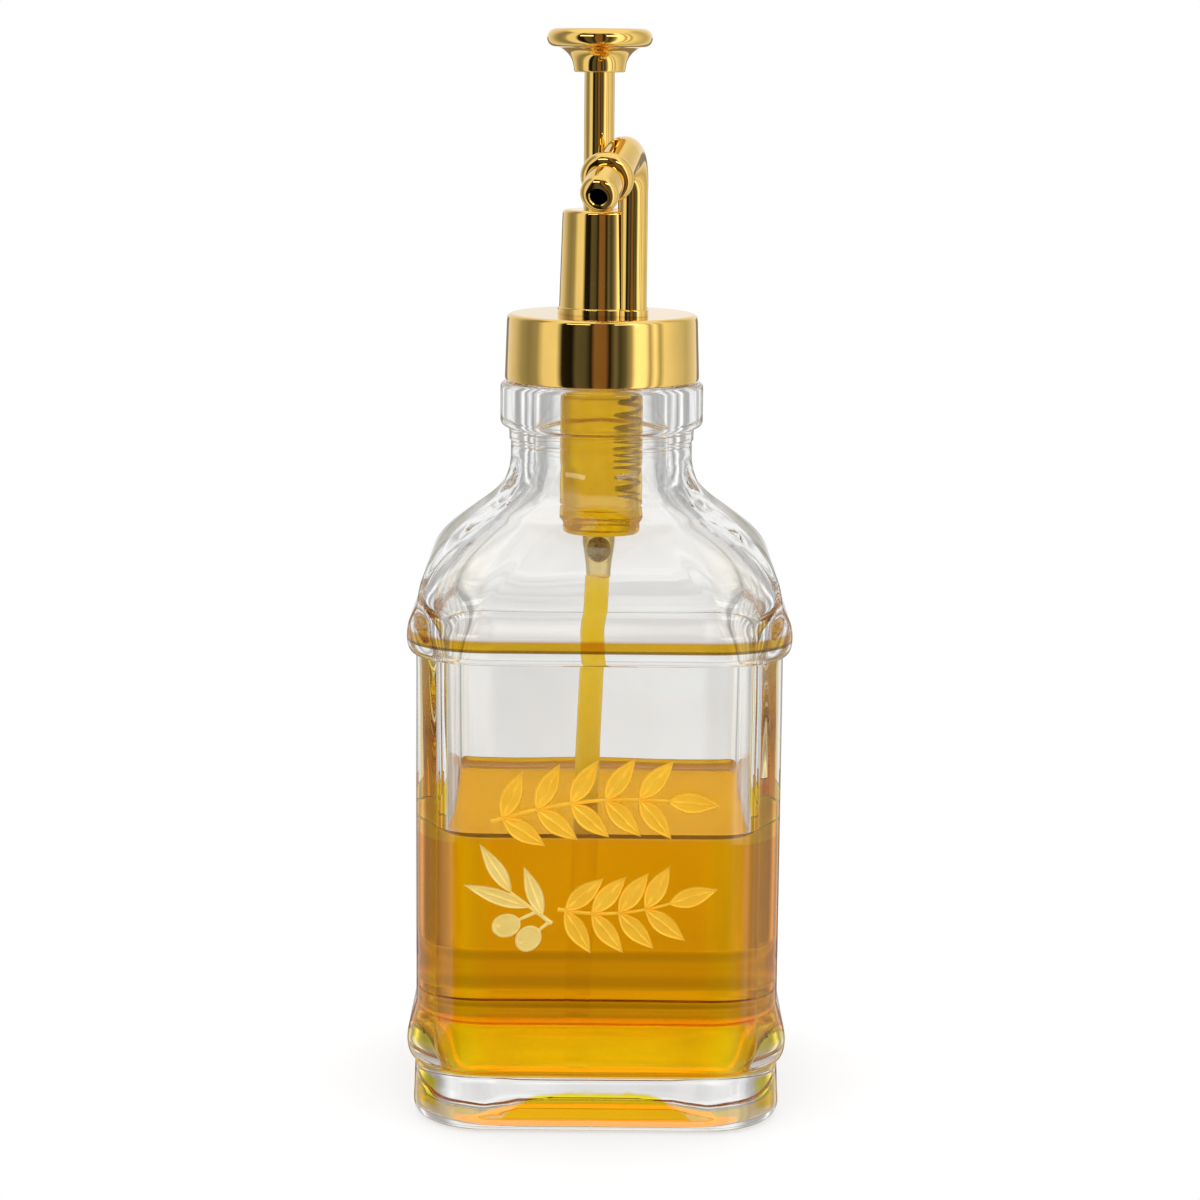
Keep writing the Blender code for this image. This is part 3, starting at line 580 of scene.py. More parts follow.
def welded(name, shells, gap):
    """One mesh of all the shells, with points nearer than the gap joined."""
    bm = bmesh.new()
    for points, faces in shells:
        mesh = bpy.data.meshes.new("shell")
        mesh.from_pydata(points, [], faces)
        bm.from_mesh(mesh)
        bpy.data.meshes.remove(mesh)
    bmesh.ops.remove_doubles(bm, verts=bm.verts, dist=gap)
    bmesh.ops.recalc_face_normals(bm, faces=bm.faces)
    return mesh_from(bm, name)


def skin(name, rings, material, cyclic=False, smooth_angle=40.0):
    return new_piece(name, welded(name, [shell(rings, cyclic)], 0.000002), material, smooth_angle)


def turned(name, profile, material, closed=False, steps=FINE_TURN, smooth_angle=40.0):
    """A (radius, height) profile swept round Z; open ends on the axis are closed by a small disc."""
    rings = []
    for radius, height in profile:
        radius = max(radius, 0.000005)
        rings.append([
            (radius * math.cos(math.tau * i / steps), radius * math.sin(math.tau * i / steps), height)
            for i in range(steps)
        ])
    return skin(name, rings, material, closed, smooth_angle)


def turned_piece(name, profile, material, slot, node_name, x=0.0, steps=96, body="bottle", **options):
    """A turned piece round the line at x, dressed; returned for the rest of its place and looks."""
    piece = turned(name, profile, material, steps=steps, **options)
    piece.location.x = x
    dress(piece, slot, node_name, body=body)
    return piece


def swept(name, points, radii, material, sides=48, smooth_angle=50.0):
    """A round bar through points that lie in one plane or bend gently, with a radius at each."""
    points = [Vector(p) for p in points]
    rings = []
    side = None
    for i, point in enumerate(points):
        along = (points[min(i + 1, len(points) - 1)] - points[max(i - 1, 0)]).normalized()
        if side is None:
            side = along.orthogonal().normalized()
        side = (side - along * side.dot(along)).normalized()
        other = along.cross(side)
        rings.append([
            tuple(point + (side * math.cos(a) + other * math.sin(a)) * radii[i])
            for a in (math.tau * k / sides for k in range(sides))
        ])
    return skin(name, rings, material, False, smooth_angle)


def square_ring(half, corner, z, narrow=0.0):
    """A rounded square outline, narrower across than deep where asked, with points along its flat sides."""
    corner = min(corner, half)
    flat = (half - corner - narrow, half - corner)
    ring = []
    for quarter in range(4):
        start = math.radians(90.0 * quarter)
        sides = [
            (math.copysign(flat[0], math.cos(turn)), math.copysign(flat[1], math.sin(turn)))
            for turn in (start + math.pi / 4, start + math.pi * 3 / 4)
        ]
        for i in range(FINE_CORNER + 1):
            a = start + math.pi / 2 * i / FINE_CORNER
            ring.append((sides[0][0] + corner * math.cos(a), sides[0][1] + corner * math.sin(a), z))
        first = Vector(ring[-1][:2])
        a = start + math.pi / 2
        last = Vector((sides[1][0] + corner * math.cos(a), sides[1][1] + corner * math.sin(a)))
        for i in range(1, 12):
            middle = first.lerp(last, i / 12)
            ring.append((middle.x, middle.y, z))
    return ring


def waver(ring, size, scale, seed, rise=1.0):
    """The ring moved in or out a little by smooth noise, as pressed glass is never quite true."""
    moved = []
    for x, y, z in ring:
        away = Vector((x, y, 0.0)).normalized()
        place = Vector((x * scale, y * scale, z * scale * rise)) + Vector((seed, 0.0, 0.0))
        push = (noise.noise(place) - 0.6) * size
        moved.append((x + away.x * push, y + away.y * push, z))
    return moved


# Glass and oil

def shoulder_fade(rise):
    """How much of the square is left: all of it up to the shoulder, and none in the round neck."""
    return max(0.0, 1.0 - rise**1.4) ** 1.6


def body_corner(half, z):
    flat = BODY_HALF - BODY_CORNER
    rise = (z - SHOULDER_Z) / (NECK_Z - SHOULDER_Z)
    if rise > 0.0:
        flat *= shoulder_fade(rise)
    return max(half - flat, 0.0)


def ridge_levels(middle_z, half):
    top = half + RIDGE_REACH
    levels = bezier(
        (half, middle_z - RIDGE_UNDER), (half + RIDGE_REACH * 0.7, middle_z - RIDGE_UNDER * 0.95),
        (top, middle_z - RIDGE_UNDER * 0.6), (top, middle_z), 12,
    )
    levels += bezier(
        (top, middle_z), (top, middle_z + RIDGE_OVER * 0.35),
        (half + RIDGE_REACH * 0.25, middle_z + RIDGE_OVER * 0.6), (half, middle_z + RIDGE_OVER), 16,
    )[1:]
    return levels


def outer_profile():
    profile = [(PUNT_HALF * 0.3, PUNT_DEPTH)] + line((PUNT_HALF * 0.6, PUNT_DEPTH), (PUNT_HALF, 0.0), 4)
    profile += arc(FOOT_HALF - FOOT_FILLET, FOOT_FILLET, FOOT_FILLET, -90, 0, 12)
    under = LOWER_RIDGE_Z - RIDGE_UNDER - 0.0004
    profile += line((FOOT_HALF, FOOT_FILLET + 0.001), (FOOT_HALF - 0.0003, under), 6)
    profile += ridge_levels(LOWER_RIDGE_Z, BODY_HALF)
    profile += line((BODY_HALF, 0.028), (BODY_HALF - 0.0001, 0.094), 24)
    upper = ridge_levels(UPPER_RIDGE_Z, BODY_HALF - 0.0001)
    profile += [level for level in upper if level[1] < UPPER_RIDGE_Z + 0.0030]
    profile += bezier(
        profile[-1], (BODY_HALF + 0.0008, UPPER_RIDGE_Z + 0.0044),
        (BODY_HALF - 0.0002, SHOULDER_Z - 0.0020), (BODY_HALF - 0.0004, SHOULDER_Z), 10,
    )[1:-1]
    profile += bezier(
        (BODY_HALF - 0.0004, SHOULDER_Z), (BODY_HALF - 0.0010, SHOULDER_Z + 0.0070),
        (INFLECTION_R + 0.0090 * TILT_R, INFLECTION_Z - 0.0090 * TILT_Z), (INFLECTION_R, INFLECTION_Z), 28,
    )
    profile += bezier(
        (INFLECTION_R, INFLECTION_Z), (INFLECTION_R - 0.0040 * TILT_R, INFLECTION_Z + 0.0040 * TILT_Z),
        (NECK_R, NECK_Z - 0.0050), (NECK_R, NECK_Z), 18,
    )[1:]
    profile += [(NECK_R, NECK_STEP_Z - 0.0004), (NECK_R + 0.00015, NECK_STEP_Z - 0.00015)]
    profile += [(NECK_R + 0.0003, NECK_STEP_Z)]
    profile += bezier(
        (NECK_R + 0.0003, NECK_STEP_Z + 0.0003), (NECK_R + 0.0003, BEAD_LOW_Z - 0.0010),
        (NECK_R + 0.0004, BEAD_LOW_Z - 0.0002), (BEAD_R - 0.0014, BEAD_LOW_Z), 6,
    )
    profile += arc(BEAD_R - 0.0014, BEAD_LOW_Z + 0.0014, 0.0014, -80, 0, 8)
    profile += arc(BEAD_R - 0.0012, BEAD_TOP_Z - 0.0012, 0.0012, 0, 90, 8)
    profile += [(FINISH_R + 0.0004, BEAD_TOP_Z), (FINISH_R, BEAD_TOP_Z + 0.0004)]
    profile += [(FINISH_R, LIP_Z - 0.0006), (FINISH_R - 0.0006, LIP_Z)]
    return profile


def inner_profile(shrink=0.0):
    half = BODY_HALF - WALL - shrink
    mouth = MOUTH_R - shrink
    floor = INNER_FLOOR_Z + shrink
    fillet = INNER_FLOOR_FILLET
    bend = (INFLECTION_R - WALL, INFLECTION_Z - WALL + 0.0003)
    profile = line((half * 0.2, floor), (half - fillet - 0.0005, floor), 8)
    profile += arc(half - fillet, floor + fillet, fillet, -90, 0, 14)
    profile += line((half, floor + fillet + 0.002), (half, SHOULDER_Z - 0.005), 36)
    profile += bezier(
        (half, SHOULDER_Z - 0.0025), (half - 0.0006, SHOULDER_Z + 0.0045),
        (bend[0] + 0.0090 * TILT_R, bend[1] - 0.0080 * TILT_Z), bend, 22,
    )
    profile += bezier(
        bend, (bend[0] - 0.0040 * TILT_R, bend[1] + 0.0040 * TILT_Z),
        (mouth, NECK_Z - 0.0075), (mouth, NECK_Z - 0.0015), 16,
    )[1:]
    return profile


def share_of(value, whole):
    """How much of the whole the value is, held between 0 and 1."""
    return min(1.0, max(0.0, value / whole))


def inner_ring(half, z):
    """One outline of the inner wall, wavering as pressed glass does; its wall is even in the shoulder."""
    fade = shoulder_fade(share_of(z - SHOULDER_Z, NECK_Z - 0.0015 - SHOULDER_Z))
    even = share_of(z - CORNER_EVEN_Z, 0.010)
    corner = WALL + CAVITY_CORNER + (BODY_CORNER - WALL - CAVITY_CORNER) * even
    flat = min((BODY_HALF - corner) * fade, half * 0.82)
    ring = square_ring(half, half - flat, z, min(CAVITY_NARROW * fade, flat * 0.9) * (1.0 - even))
    return waver(ring, INNER_WAVER, 60.0, 3.0, 0.4)


def is_inner(face):
    """True for a face of the inner wall or floor, which looks towards the bottle's axis or up."""
    outward = face.normal.x * face.center.x + face.normal.y * face.center.y
    return outward < 0.0 or face.normal.z > 0.7


def crease(ring, z):
    """Shallow grooves that run down the shoulder's corners, where the round neck turns square."""
    depth = CREASE * share_of(z - CREASE_LOW, 0.005) * share_of(CREASE_TOP - z, 0.006)
    moved = []
    for x, y, height in ring:
        turn = math.degrees(math.atan2(abs(y), abs(x)))
        push = sum(math.exp(-((turn - at) / wide) ** 2) for at, wide in CREASE_TURNS)
        away = Vector((x, y, 0.0)).normalized() * (depth * push)
        moved.append((x - away.x, y - away.y, height))
    return moved


def make_glass():
    rings = []
    for half, z in outer_profile():
        ring = square_ring(half, body_corner(half, z), z)
        rings.append(crease(waver(ring, OUTER_WAVER, 30.0, 11.0) if 0.004 < z < 0.130 else ring, z))
    rings += [square_ring(MOUTH_R, MOUTH_R, LIP_Z)]
    rings += [inner_ring(half, z) for half, z in inner_profile()][::-1]
    piece = skin("bottle_glass", rings, GLASS)
    piece.data.materials.append(WET_GLASS)
    piece.data.materials.append(OILED_GLASS)
    reach = BODY_HALF - WALL * 0.5
    for face in piece.data.polygons:
        wet = INNER_FLOOR_Z - 0.001 < face.center.z < OIL_LEVEL_Z
        if wet and max(abs(face.center.x), abs(face.center.y)) < reach and face.normal.length:
            face.material_index = 1 if is_inner(face) else 0
        elif wet:
            face.material_index = 2
    dress(piece, "clear_glass", "glass_bottle")


def make_oil():
    """The pool of oil, reaching just into the glass, with a small meniscus up the wall."""
    side = [(half, z) for half, z in inner_profile(-OIL_REACH) if z < OIL_LEVEL_Z - 0.001]
    half = BODY_HALF - WALL + OIL_REACH
    side.append((half, OIL_LEVEL_Z))
    side.append((half, OIL_LEVEL_Z + MENISCUS))
    rings = [inner_ring(h, z) for h, z in side]
    for step in range(1, 9):
        inward = MENISCUS_REACH * step / 8
        rise = MENISCUS * math.exp(-inward / 0.0011)
        rings.append(inner_ring(half - 0.0002 - inward, OIL_LEVEL_Z + rise))
    rings.append(inner_ring(half * 0.5, OIL_LEVEL_Z))
    piece = skin("oil_pool", rings, OIL)
    # The top faces take the copy of the oil with the painted glow
    piece.data.materials.append(OIL_TOP)
    for face in piece.data.polygons:
        if face.center.z > OIL_LEVEL_Z - 0.0002 and face.normal.z > 0.1:
            face.material_index = 1
    dress(piece, "olive_oil", "oil")


# Pump

def make_cap():
    foot = CAP_LOW.z
    profile = [(CAP_HOLE_R, CAP_TOP_Z)]
    profile += line((CAP_HOLE_R + 0.001, CAP_TOP_Z), (CAP_TOP_R - CAP_EDGE - 0.0008, CAP_TOP_Z), 6)
    profile += arc(CAP_TOP_R - CAP_EDGE, CAP_TOP_Z - CAP_EDGE, CAP_EDGE, 90, 0, 12)
    profile += line((CAP_TOP_R + 0.0001, CAP_TOP_Z - CAP_EDGE - 0.0006), (CAP_FOOT_R, foot + 0.0006), 4)
    profile += [(CAP_FOOT_R - 0.0001, foot + 0.0002), (CAP_FOOT_R - 0.0004, foot)]
    inside = FINISH_R + 0.0006
    profile += [(inside + 0.0003, foot), (inside, foot + 0.0003)]
    profile += [(inside, CAP_TOP_Z - CAP_PLATE), (CAP_HOLE_R, CAP_TOP_Z - CAP_PLATE)]
    turned_piece("gold_cap", profile, GOLD, "polished_gold", "cap", steps=192, closed=True)


def spout_frame():
    """Where the arch starts, its heading and turn, the collar's place and the way the spout points."""
    flat = Vector((-math.sin(SPOUT_HEADING), -math.cos(SPOUT_HEADING), 0.0))
    pour = flat * math.cos(SPOUT_SLOPE) - Vector((0.0, 0.0, math.sin(SPOUT_SLOPE)))
    turn = math.pi / 2 + SPOUT_SLOPE
    start = Vector((RISER_X, RISER_Y, ARCH_TOP_Z - RISER_R - ARCH_BEND_R))
    ahead = ARCH_BEND_R * (1 - math.cos(turn))
    end = start + flat * ahead + Vector((0.0, 0.0, ARCH_BEND_R * math.sin(turn)))
    collar = end + pour * ((SPOUT_REACH - ahead) / math.cos(SPOUT_SLOPE))
    return start, flat, turn, collar, pour


def joined(name, pieces, material, operation="UNION"):
    """The pieces united, or the first cut by the others, as one new piece in their place."""
    base = pieces[0]
    for tool in pieces[1:]:
        modifier = base.modifiers.new("join", "BOOLEAN")
        modifier.operation = operation
        modifier.solver = "EXACT"
        modifier.object = tool
    bpy.context.view_layer.update()
    graph = bpy.context.evaluated_depsgraph_get()
    mesh = bpy.data.meshes.new_from_object(base.evaluated_get(graph))
    for tool in pieces:
        bpy.data.objects.remove(tool, do_unlink=True)
    return new_piece(name, mesh, material, 30.0)


def make_tower():
    foot = CAP_TOP_Z + 0.00002
    flange = CAP_TOP_Z + 0.0003 + TOWER_FLANGE
    profile = [(ROD_R + 0.0001, TOWER_TOP_Z - 0.0002), (ROD_R + 0.0008, TOWER_TOP_Z)]
    profile += arc(TOWER_TOP_R - TOWER_EDGE, TOWER_TOP_Z - TOWER_EDGE, TOWER_EDGE, 90, 0, 10)
    profile += line((TOWER_TOP_R + 0.00005, TOWER_TOP_Z - 0.002), (TOWER_FOOT_R, flange + 0.0003), 4)
    profile += [(TOWER_FOOT_R, flange)]
    profile += arc(TOWER_FLANGE_R - 0.0003, flange - 0.0003, 0.0003, 80, 0, 4)
    profile += [(TOWER_FLANGE_R, foot), (ROD_R + 0.0001, foot)]
    cylinder = turned("cylinder", profile, GOLD, True, 128)
    cylinder.location.x = PUMP_X
    start, flat, turn, collar = spout_frame()[:4]
    points = [Vector((RISER_X, RISER_Y, foot)), Vector((RISER_X, RISER_Y, start.z - 0.004))]
    steps = 36
    for i in range(steps + 1):
        a = turn * i / steps
        ahead = ARCH_BEND_R * (1 - math.cos(a))
        points.append(start + flat * ahead + Vector((0.0, 0.0, ARCH_BEND_R * math.sin(a))))
    points.append(collar)
    growth = SPOUT_END_R - RISER_R
    radii = [RISER_R, RISER_R] + [RISER_R + growth * i / (steps + 1) for i in range(steps + 2)]
    riser = swept("riser", points, radii, GOLD, 64)
    rim = [(0.0, foot), (RISER_FOOT_R, foot)]
    rim += arc(RISER_FOOT_R - 0.0003, flange - 0.0003, 0.0003, 0, 80, 4) + [(0.0, flange)]
    ring = turned("riser_foot", rim, GOLD, False, 64)
    ring.location = (RISER_X, RISER_Y, 0.0)
    piece = joined("gold_tower", [cylinder, riser, ring], GOLD)
    dress(piece, "polished_gold", "pump_tower")


def make_nozzle():
    collar, pour = spout_frame()[3:]
    turn = pour.to_track_quat("Z", "Y").to_euler()
    half = COLLAR_LENGTH / 2
    inside = SPOUT_END_R - 0.0002
    bulge = COLLAR_R - inside
    ring = [(inside, half * 0.9)]
    ring += [(inside + bulge * math.cos(a), half * math.sin(a)) for a in
             (math.radians(64 - 8 * i) for i in range(17))]
    ring += [(inside, -half * 0.9)]
    piece = turned_piece(
        "gold_collar", ring, GOLD, "polished_gold", "spout_collar", closed=True, smooth_angle=60.0
    )
    piece.location = collar
    piece.rotation_euler = turn
    tip = NOZZLE_LENGTH
    floor = tip - NOZZLE_HOLE_DEPTH
    profile = [(0.0, floor), (NOZZLE_HOLE_R, floor), (NOZZLE_HOLE_R, tip - 0.0002)]
    profile += [(NOZZLE_HOLE_R + 0.0002, tip)]
    profile += arc(NOZZLE_R - NOZZLE_EDGE * 2.4, tip - NOZZLE_EDGE * 2.4, NOZZLE_EDGE * 2.4, 80, 0, 14)
    profile += [(NOZZLE_R, 0.0001), (0.0, 0.0001)]
    piece = turned_piece("gold_nozzle", profile, GOLD, "polished_gold", "spout_nozzle")
    # The hole's walls and floor take the near black painted shade
    piece.data.materials.append(SHADED_BORE)
    for face in piece.data.polygons:
        middle = face.center
        if math.hypot(middle.x, middle.y) < NOZZLE_HOLE_R + 0.00005 and middle.z > floor - 0.0001:
            face.material_index = 1
    piece.location = collar
    piece.rotation_euler = turn


def make_plunger():
    rim_r = KNOB_R - KNOB_RIM
    top = KNOB_HIGH.z
    rim_z = top - KNOB_RIM
    hub_z = KNOB_LOW.z
    profile = [(0.0, top - 0.0003)] + line((0.001, top - 0.0003), (rim_r - 0.003, top - 0.0003), 3)
    profile += bezier(
        (rim_r - 0.0026, top - 0.0003), (rim_r - 0.0020, top - 0.0003), (rim_r - 0.0012, top), (rim_r, top), 6
    )
    profile += arc(rim_r, rim_z, KNOB_RIM, 84, -75, 24)
    profile += bezier(
        (rim_r - 0.0002, rim_z - KNOB_RIM * 0.98), (KNOB_HUB_R + 0.0006, rim_z - KNOB_RIM - 0.0010),
        (KNOB_HUB_R + 0.0002, hub_z + 0.0022), (KNOB_HUB_R, hub_z + 0.0004), 20,
    )
    profile += arc(KNOB_HUB_R - 0.0004, hub_z + 0.0004, 0.0004, 0, -90, 5)
    profile += [(ROD_R - 0.0001, hub_z), (ROD_R - 0.0001, hub_z + 0.006), (0.0, hub_z + 0.006)]
    turned_piece(
        "gold_knob", profile, GOLD, "polished_gold", "plunger_knob", PUMP_X, 160, body="plunger"
    )
    rod_top = hub_z + 0.0055
    profile = [(0.0, rod_top), (ROD_R, rod_top)] + line((ROD_R, hub_z), (ROD_R, ROD_LOW.z + 0.0004), 6)
    profile += [(ROD_R - 0.0003, ROD_LOW.z), (0.0, ROD_LOW.z)]
    turned_piece("gold_rod", profile, GOLD, "polished_gold", "plunger_rod", PUMP_X, body="plunger")


def make_housing():
    low = HOUSING_FOOT_Z
    under_cap = CAP_LOW.z - 0.0028
    profile = [(0.0, under_cap + 0.012), (HOUSING_R - 0.0006, under_cap + 0.012)]
    profile += [(HOUSING_R - 0.0006, under_cap + 0.0004)]
    profile += arc(HOUSING_R - 0.0012, under_cap - 0.0012, 0.0012, 60, 0, 6)
    profile += line((HOUSING_R, under_cap - 0.0024), (HOUSING_FOOT_R + 0.0002, low + 0.0050), 8)
    profile += [(HOUSING_FOOT_R - 0.0001, low + 0.0046), (HOUSING_FOOT_R - 0.0001, low + 0.0042)]
    profile += [(HOUSING_FOOT_R + 0.0001, low + 0.0039)]
    profile += arc(HOUSING_FOOT_R - 0.0010, low + 0.0010, 0.0010, 0, -90, 6)
    profile += [(0.0, low)]
    barrel = turned("barrel", profile, PUMP_PLASTIC, False, 96)
    bore = ROD_R + 0.0004
    floor = ROD_LOW.z - 0.0156
    profile = [(0.0, under_cap + 0.014), (bore, under_cap + 0.014), (bore, floor), (0.0, floor)]
    cutter = turned("rod_bore", profile, PUMP_PLASTIC, False, 48)
    cutter.location.x = PUMP_X
    piece = joined("pump_barrel", [barrel, cutter], PUMP_PLASTIC, "DIFFERENCE")
    dress(piece, "pump_plastic", "pump_housing")


def make_spring():
    count = round(SPRING_TURNS * SPRING_STEPS)
    points = []
    for i in range(count + 1):
        rise = i / count
        radius = SPRING_R + SPRING_GROWTH * min(1.0, rise * 2.5)
        a = math.tau * i / SPRING_STEPS
        z = SPRING_LOW_Z + (SPRING_TOP_Z - SPRING_LOW_Z) * rise
        points.append((SPRING_X + radius * math.cos(a), radius * math.sin(a), z))
    piece = swept("valve_coil", points, [WIRE_R] * len(points), STEEL, 12)
    dress(piece, "spring_steel", "valve_spring")


def make_tail():
    """The housing's narrow end, and the ball inside it."""
    top = TAIL_HIGH.z + 0.0004
    x = (TAIL_LOW.x + TAIL_HIGH.x) / 2
    foot = TAIL_LOW.z
    profile = [(0.0, top), (TAIL_R, top)] + bezier(
        (TAIL_R, top - 0.0010), (TAIL_R, top - 0.0035),
        (TAIL_FOOT_R + 0.0001, foot + 0.0035), (TAIL_FOOT_R, foot), 12,
    ) + [(0.0, foot)]
    turned_piece("tail_sleeve", profile, TAIL_PLASTIC, "tube_plastic", "inlet_tail", x, 64)
    radius = (BALL_HIGH.z - BALL_LOW.z) / 2
    profile = arc(0.0, (BALL_LOW.z + BALL_HIGH.z) / 2, radius, 90, -90, 30)
    turned_piece("valve_ball", profile, STEEL, "spring_steel", "check_ball", x, 48)


def tube_route():
    """The middle of the dip tube, which leans a little, from its foot up."""
    foot = (TUBE_FOOT_X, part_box("dip_tube")[0].z)
    top = (TUBE_TOP_X, TAIL_LOW.z + 0.0002)
    points = bezier(foot, mm(-2.6, 56.0), mm(-1.6, 85.0), top, 40)
    return [(x, 0.0, z) for x, z in points]


def make_tube():
    """The dip tube above the oil, and its foot in the oil, where it all but vanishes."""
    route = tube_route()
    cut = min(range(len(route)), key=lambda i: abs(route[i][2] - OIL_LEVEL_Z))
    dry = swept("tube", route[cut:], [TUBE_R] * (len(route) - cut), TUBE_PLASTIC, 40)
    dress(dry, "tube_plastic", "dip_tube")
    wet = swept("tube_foot", route[:cut + 1], [TUBE_R] * (cut + 1), SUNK_PLASTIC, 40)
    dress(wet, "tube_plastic", "oil_column")


# Ornament

def leaf_shell(root, tip, half, height):
    """A pointed leaf on the front face: a flat plate with a raised rim and midrib."""
    along = Vector(tip) - Vector(root)
    ahead = along.normalized()
    side = Vector((-ahead.y, ahead.x))
    rows, cols = 26, 14
    rings = []
    for i in range(rows + 1):
        t = i / rows
        wide = half * math.sin(math.pi * t**0.85)
        front, back = [], []
        for j in range(-cols, cols + 1):
            s = math.copysign(abs(j / cols) ** 0.8, j)
            place = Vector(root) + along * t + side * (wide * s)
            inward = (1.0 - abs(s)) * wide
            rim = math.exp(-((inward - LEAF_RIM) / (LEAF_RIM * 0.55)) ** 2)
            rib = math.exp(-((wide * s) / (LEAF_RIM * 0.6)) ** 2) * min(1.0, 3.0 * (1.0 - t))
            rise = min(1.0, inward / (LEAF_RIM * 0.5))
            crown = height * rise * (0.45 + 0.55 * max(rim, rib * 0.8))
            front.append((place.x, PLATE_Y - (crown + 0.00025), place.y))
            back.append((place.x, PLATE_Y, place.y))
        rings.append(front + back[::-1])
    return shell(rings)


def stem_shell(points, half, height):
    """A half round stem on the front face, which tapers towards its end."""
    count = len(points)
    round_side = [(s, 0.0002 + height * math.sqrt(max(0.0, 1 - s * s))) for s in (-1.0, -0.6, 0.0, 0.6, 1.0)]
    rings = []
    for i, point in enumerate(points):
        before = Vector(points[max(i - 1, 0)])
        after = Vector(points[min(i + 1, count - 1)])
        along = (after - before).normalized()
        side = Vector((-along.y, along.x)) * half * (1.0 - 0.4 * i / count)
        places = [(Vector(point) + side * s, rise) for s, rise in round_side + [(1.0, 0.0), (-1.0, 0.0)]]
        rings.append([(place.x, PLATE_Y - rise, place.y) for place, rise in places])
    return shell(rings)


def olive_shell(centre, tilt, height):
    """An olive lying on the front face, with a rim round it and a small pit at its blossom end."""
    ahead = Vector((math.cos(math.radians(tilt)), math.sin(math.radians(tilt))))
    side = Vector((-ahead.y, ahead.x))
    pit = Vector((-0.45, 0.35))
    levels, sides = 16, 40
    rings = []
    for i in range(-1, levels + 1):
        out = 1.0 - (max(i, 0) / levels) * 0.995
        rim = math.exp(-((out - 0.90) / 0.06) ** 2)
        dome = min(1.0, (1.0 - out) / 0.08) * (0.5 + 0.25 * (1.0 - out**2))
        ring = []
        for k in range(sides):
            a = math.tau * k / sides
            spot = Vector((math.cos(a), math.sin(a))) * out
            place = Vector(centre) + ahead * (OLIVE_LONG * spot.x) + side * (OLIVE_SHORT * spot.y)
            dimple = math.exp(-((spot - pit).length / 0.10) ** 2)
            rise = 0.0 if i < 0 else 0.0002 + height * (dome + 0.4 * rim - 0.6 * dimple)
            ring.append((place.x, PLATE_Y - rise, place.y))
        rings.append(ring)
    return shell(rings)


def bowed(ends, bow):
    """Points along a stem that rises by half of bow in its middle."""
    start, end = (Vector(p) for p in ends)
    middle = (start + end) / 2 + Vector((0.0, bow))
    shares = [i / STEM_STEPS for i in range(STEM_STEPS + 1)]
    return [start * (1 - t) ** 2 + middle * (2 * t * (1 - t)) + end * t**2 for t in shares]


def paired_leaves(stem, first, pairs):
    """Roots and tips of leaves in pairs from the share first of the stem on, and one at its end."""
    last = len(stem) - 1
    places = [(first + (1.0 - first) / pairs * i, side * LEAF_TURN) for i in range(pairs) for side in (1, -1)]
    leaves = []
    for share, turn in places + [(0.97, 0.0)]:
        low = int(share * last)
        along = stem[low + 1] - stem[low]
        root = stem[low] + along * (share * last - low)
        heading = math.atan2(along.y, along.x) + math.radians(turn)
        leaves.append((root, root + Vector((math.cos(heading), math.sin(heading))) * LEAF_LENGTH))
    return leaves


def relief(name, shells, material, node_name):
    dress(new_piece(name, welded(name, shells, 0.0000005), material, 80.0), "raised_gold", node_name)


def make_branches():
    """Two bold leafy branches, one above the other."""
    for name, node_name, ends, bow, pairs in BRANCHES:
        stem = bowed(ends, bow)
        shells = [leaf_shell(root, tip, LEAF_HALF, RELIEF) for root, tip in paired_leaves(stem, 0.06, pairs)]
        relief(name, [stem_shell(stem, STEM_HALF, STEM_RISE)] + shells, RAISED_GOLD, node_name)


def make_sprig():
    """A small sprig with olives at the branches' lower left."""
    shells = [stem_shell(bowed(SPRIG_STEM, 0.0), STEM_HALF, STEM_RISE)]
    shells += [leaf_shell(root, tip, SPRIG_LEAF_HALF, RELIEF) for root, tip in SPRIG_LEAVES]
    for centre, root, tilt in SPRIG_OLIVES:
        stalk = [Vector(p) for p in line(root, centre, 4)]
        shells.append(stem_shell(stalk, STEM_HALF * 0.8, STEM_RISE * 0.8))
        shells.append(olive_shell(centre, tilt, RELIEF))
    relief("pale_sprig", shells, PALE_GOLD, "olive_sprig")


# Studio

# The studio that the outside mirrors: how bright it is in each direction, in degrees round from the
# camera's side, positive to the right
STRIPS = [
    (-150, 0.95), (-126, 0.72), (-112, 0.42), (-98, 0.30), (-84, 0.40),
    (-74, 1.0), (-56, 1.05), (-49, 0.02), (-36, 0.01), (-31, 0.12), (-20, 0.10), (-13, 0.01), (-9, 0.26),
    (4, 0.24), (9, 0.0), (16, 0.19), (21, 0.06), (28, 0.14), (35, 0.45), (41, 1.6), (53, 1.5),
    (59, 0.50), (66, 1.4), (73, 0.50), (80, 1.1), (98, 0.85), (120, 0.62), (150, 0.98),
]
WARM_FROM = -12
WARM_TO = 7
WARM_STRIP = (1.0, 0.6, 0.35)
WHITE = (1.0, 1.0, 1.0)

# The same for the light that comes through the glass
THROUGH = [
    (-180, 0.90), (-170, 0.90), (-163, 0.42), (-152, 0.40), (-148, 0.50), (-142, 1.20), (-134, 0.30),
    (-124, 1.0), (-116, 0.30), (-106, 1.15), (-96, 0.55), (-86, 1.15), (-76, 0.45), (-62, 1.0),
    (-46, 0.48), (-32, 0.44), (-12, 0.38), (10, 0.38), (28, 0.44), (44, 1.3), (58, 0.60), (74, 1.15),
    (88, 0.50), (102, 1.15), (112, 0.30), (122, 1.0), (132, 0.30), (142, 1.20), (148, 0.50),
    (152, 0.40), (163, 0.42), (170, 0.90),
]

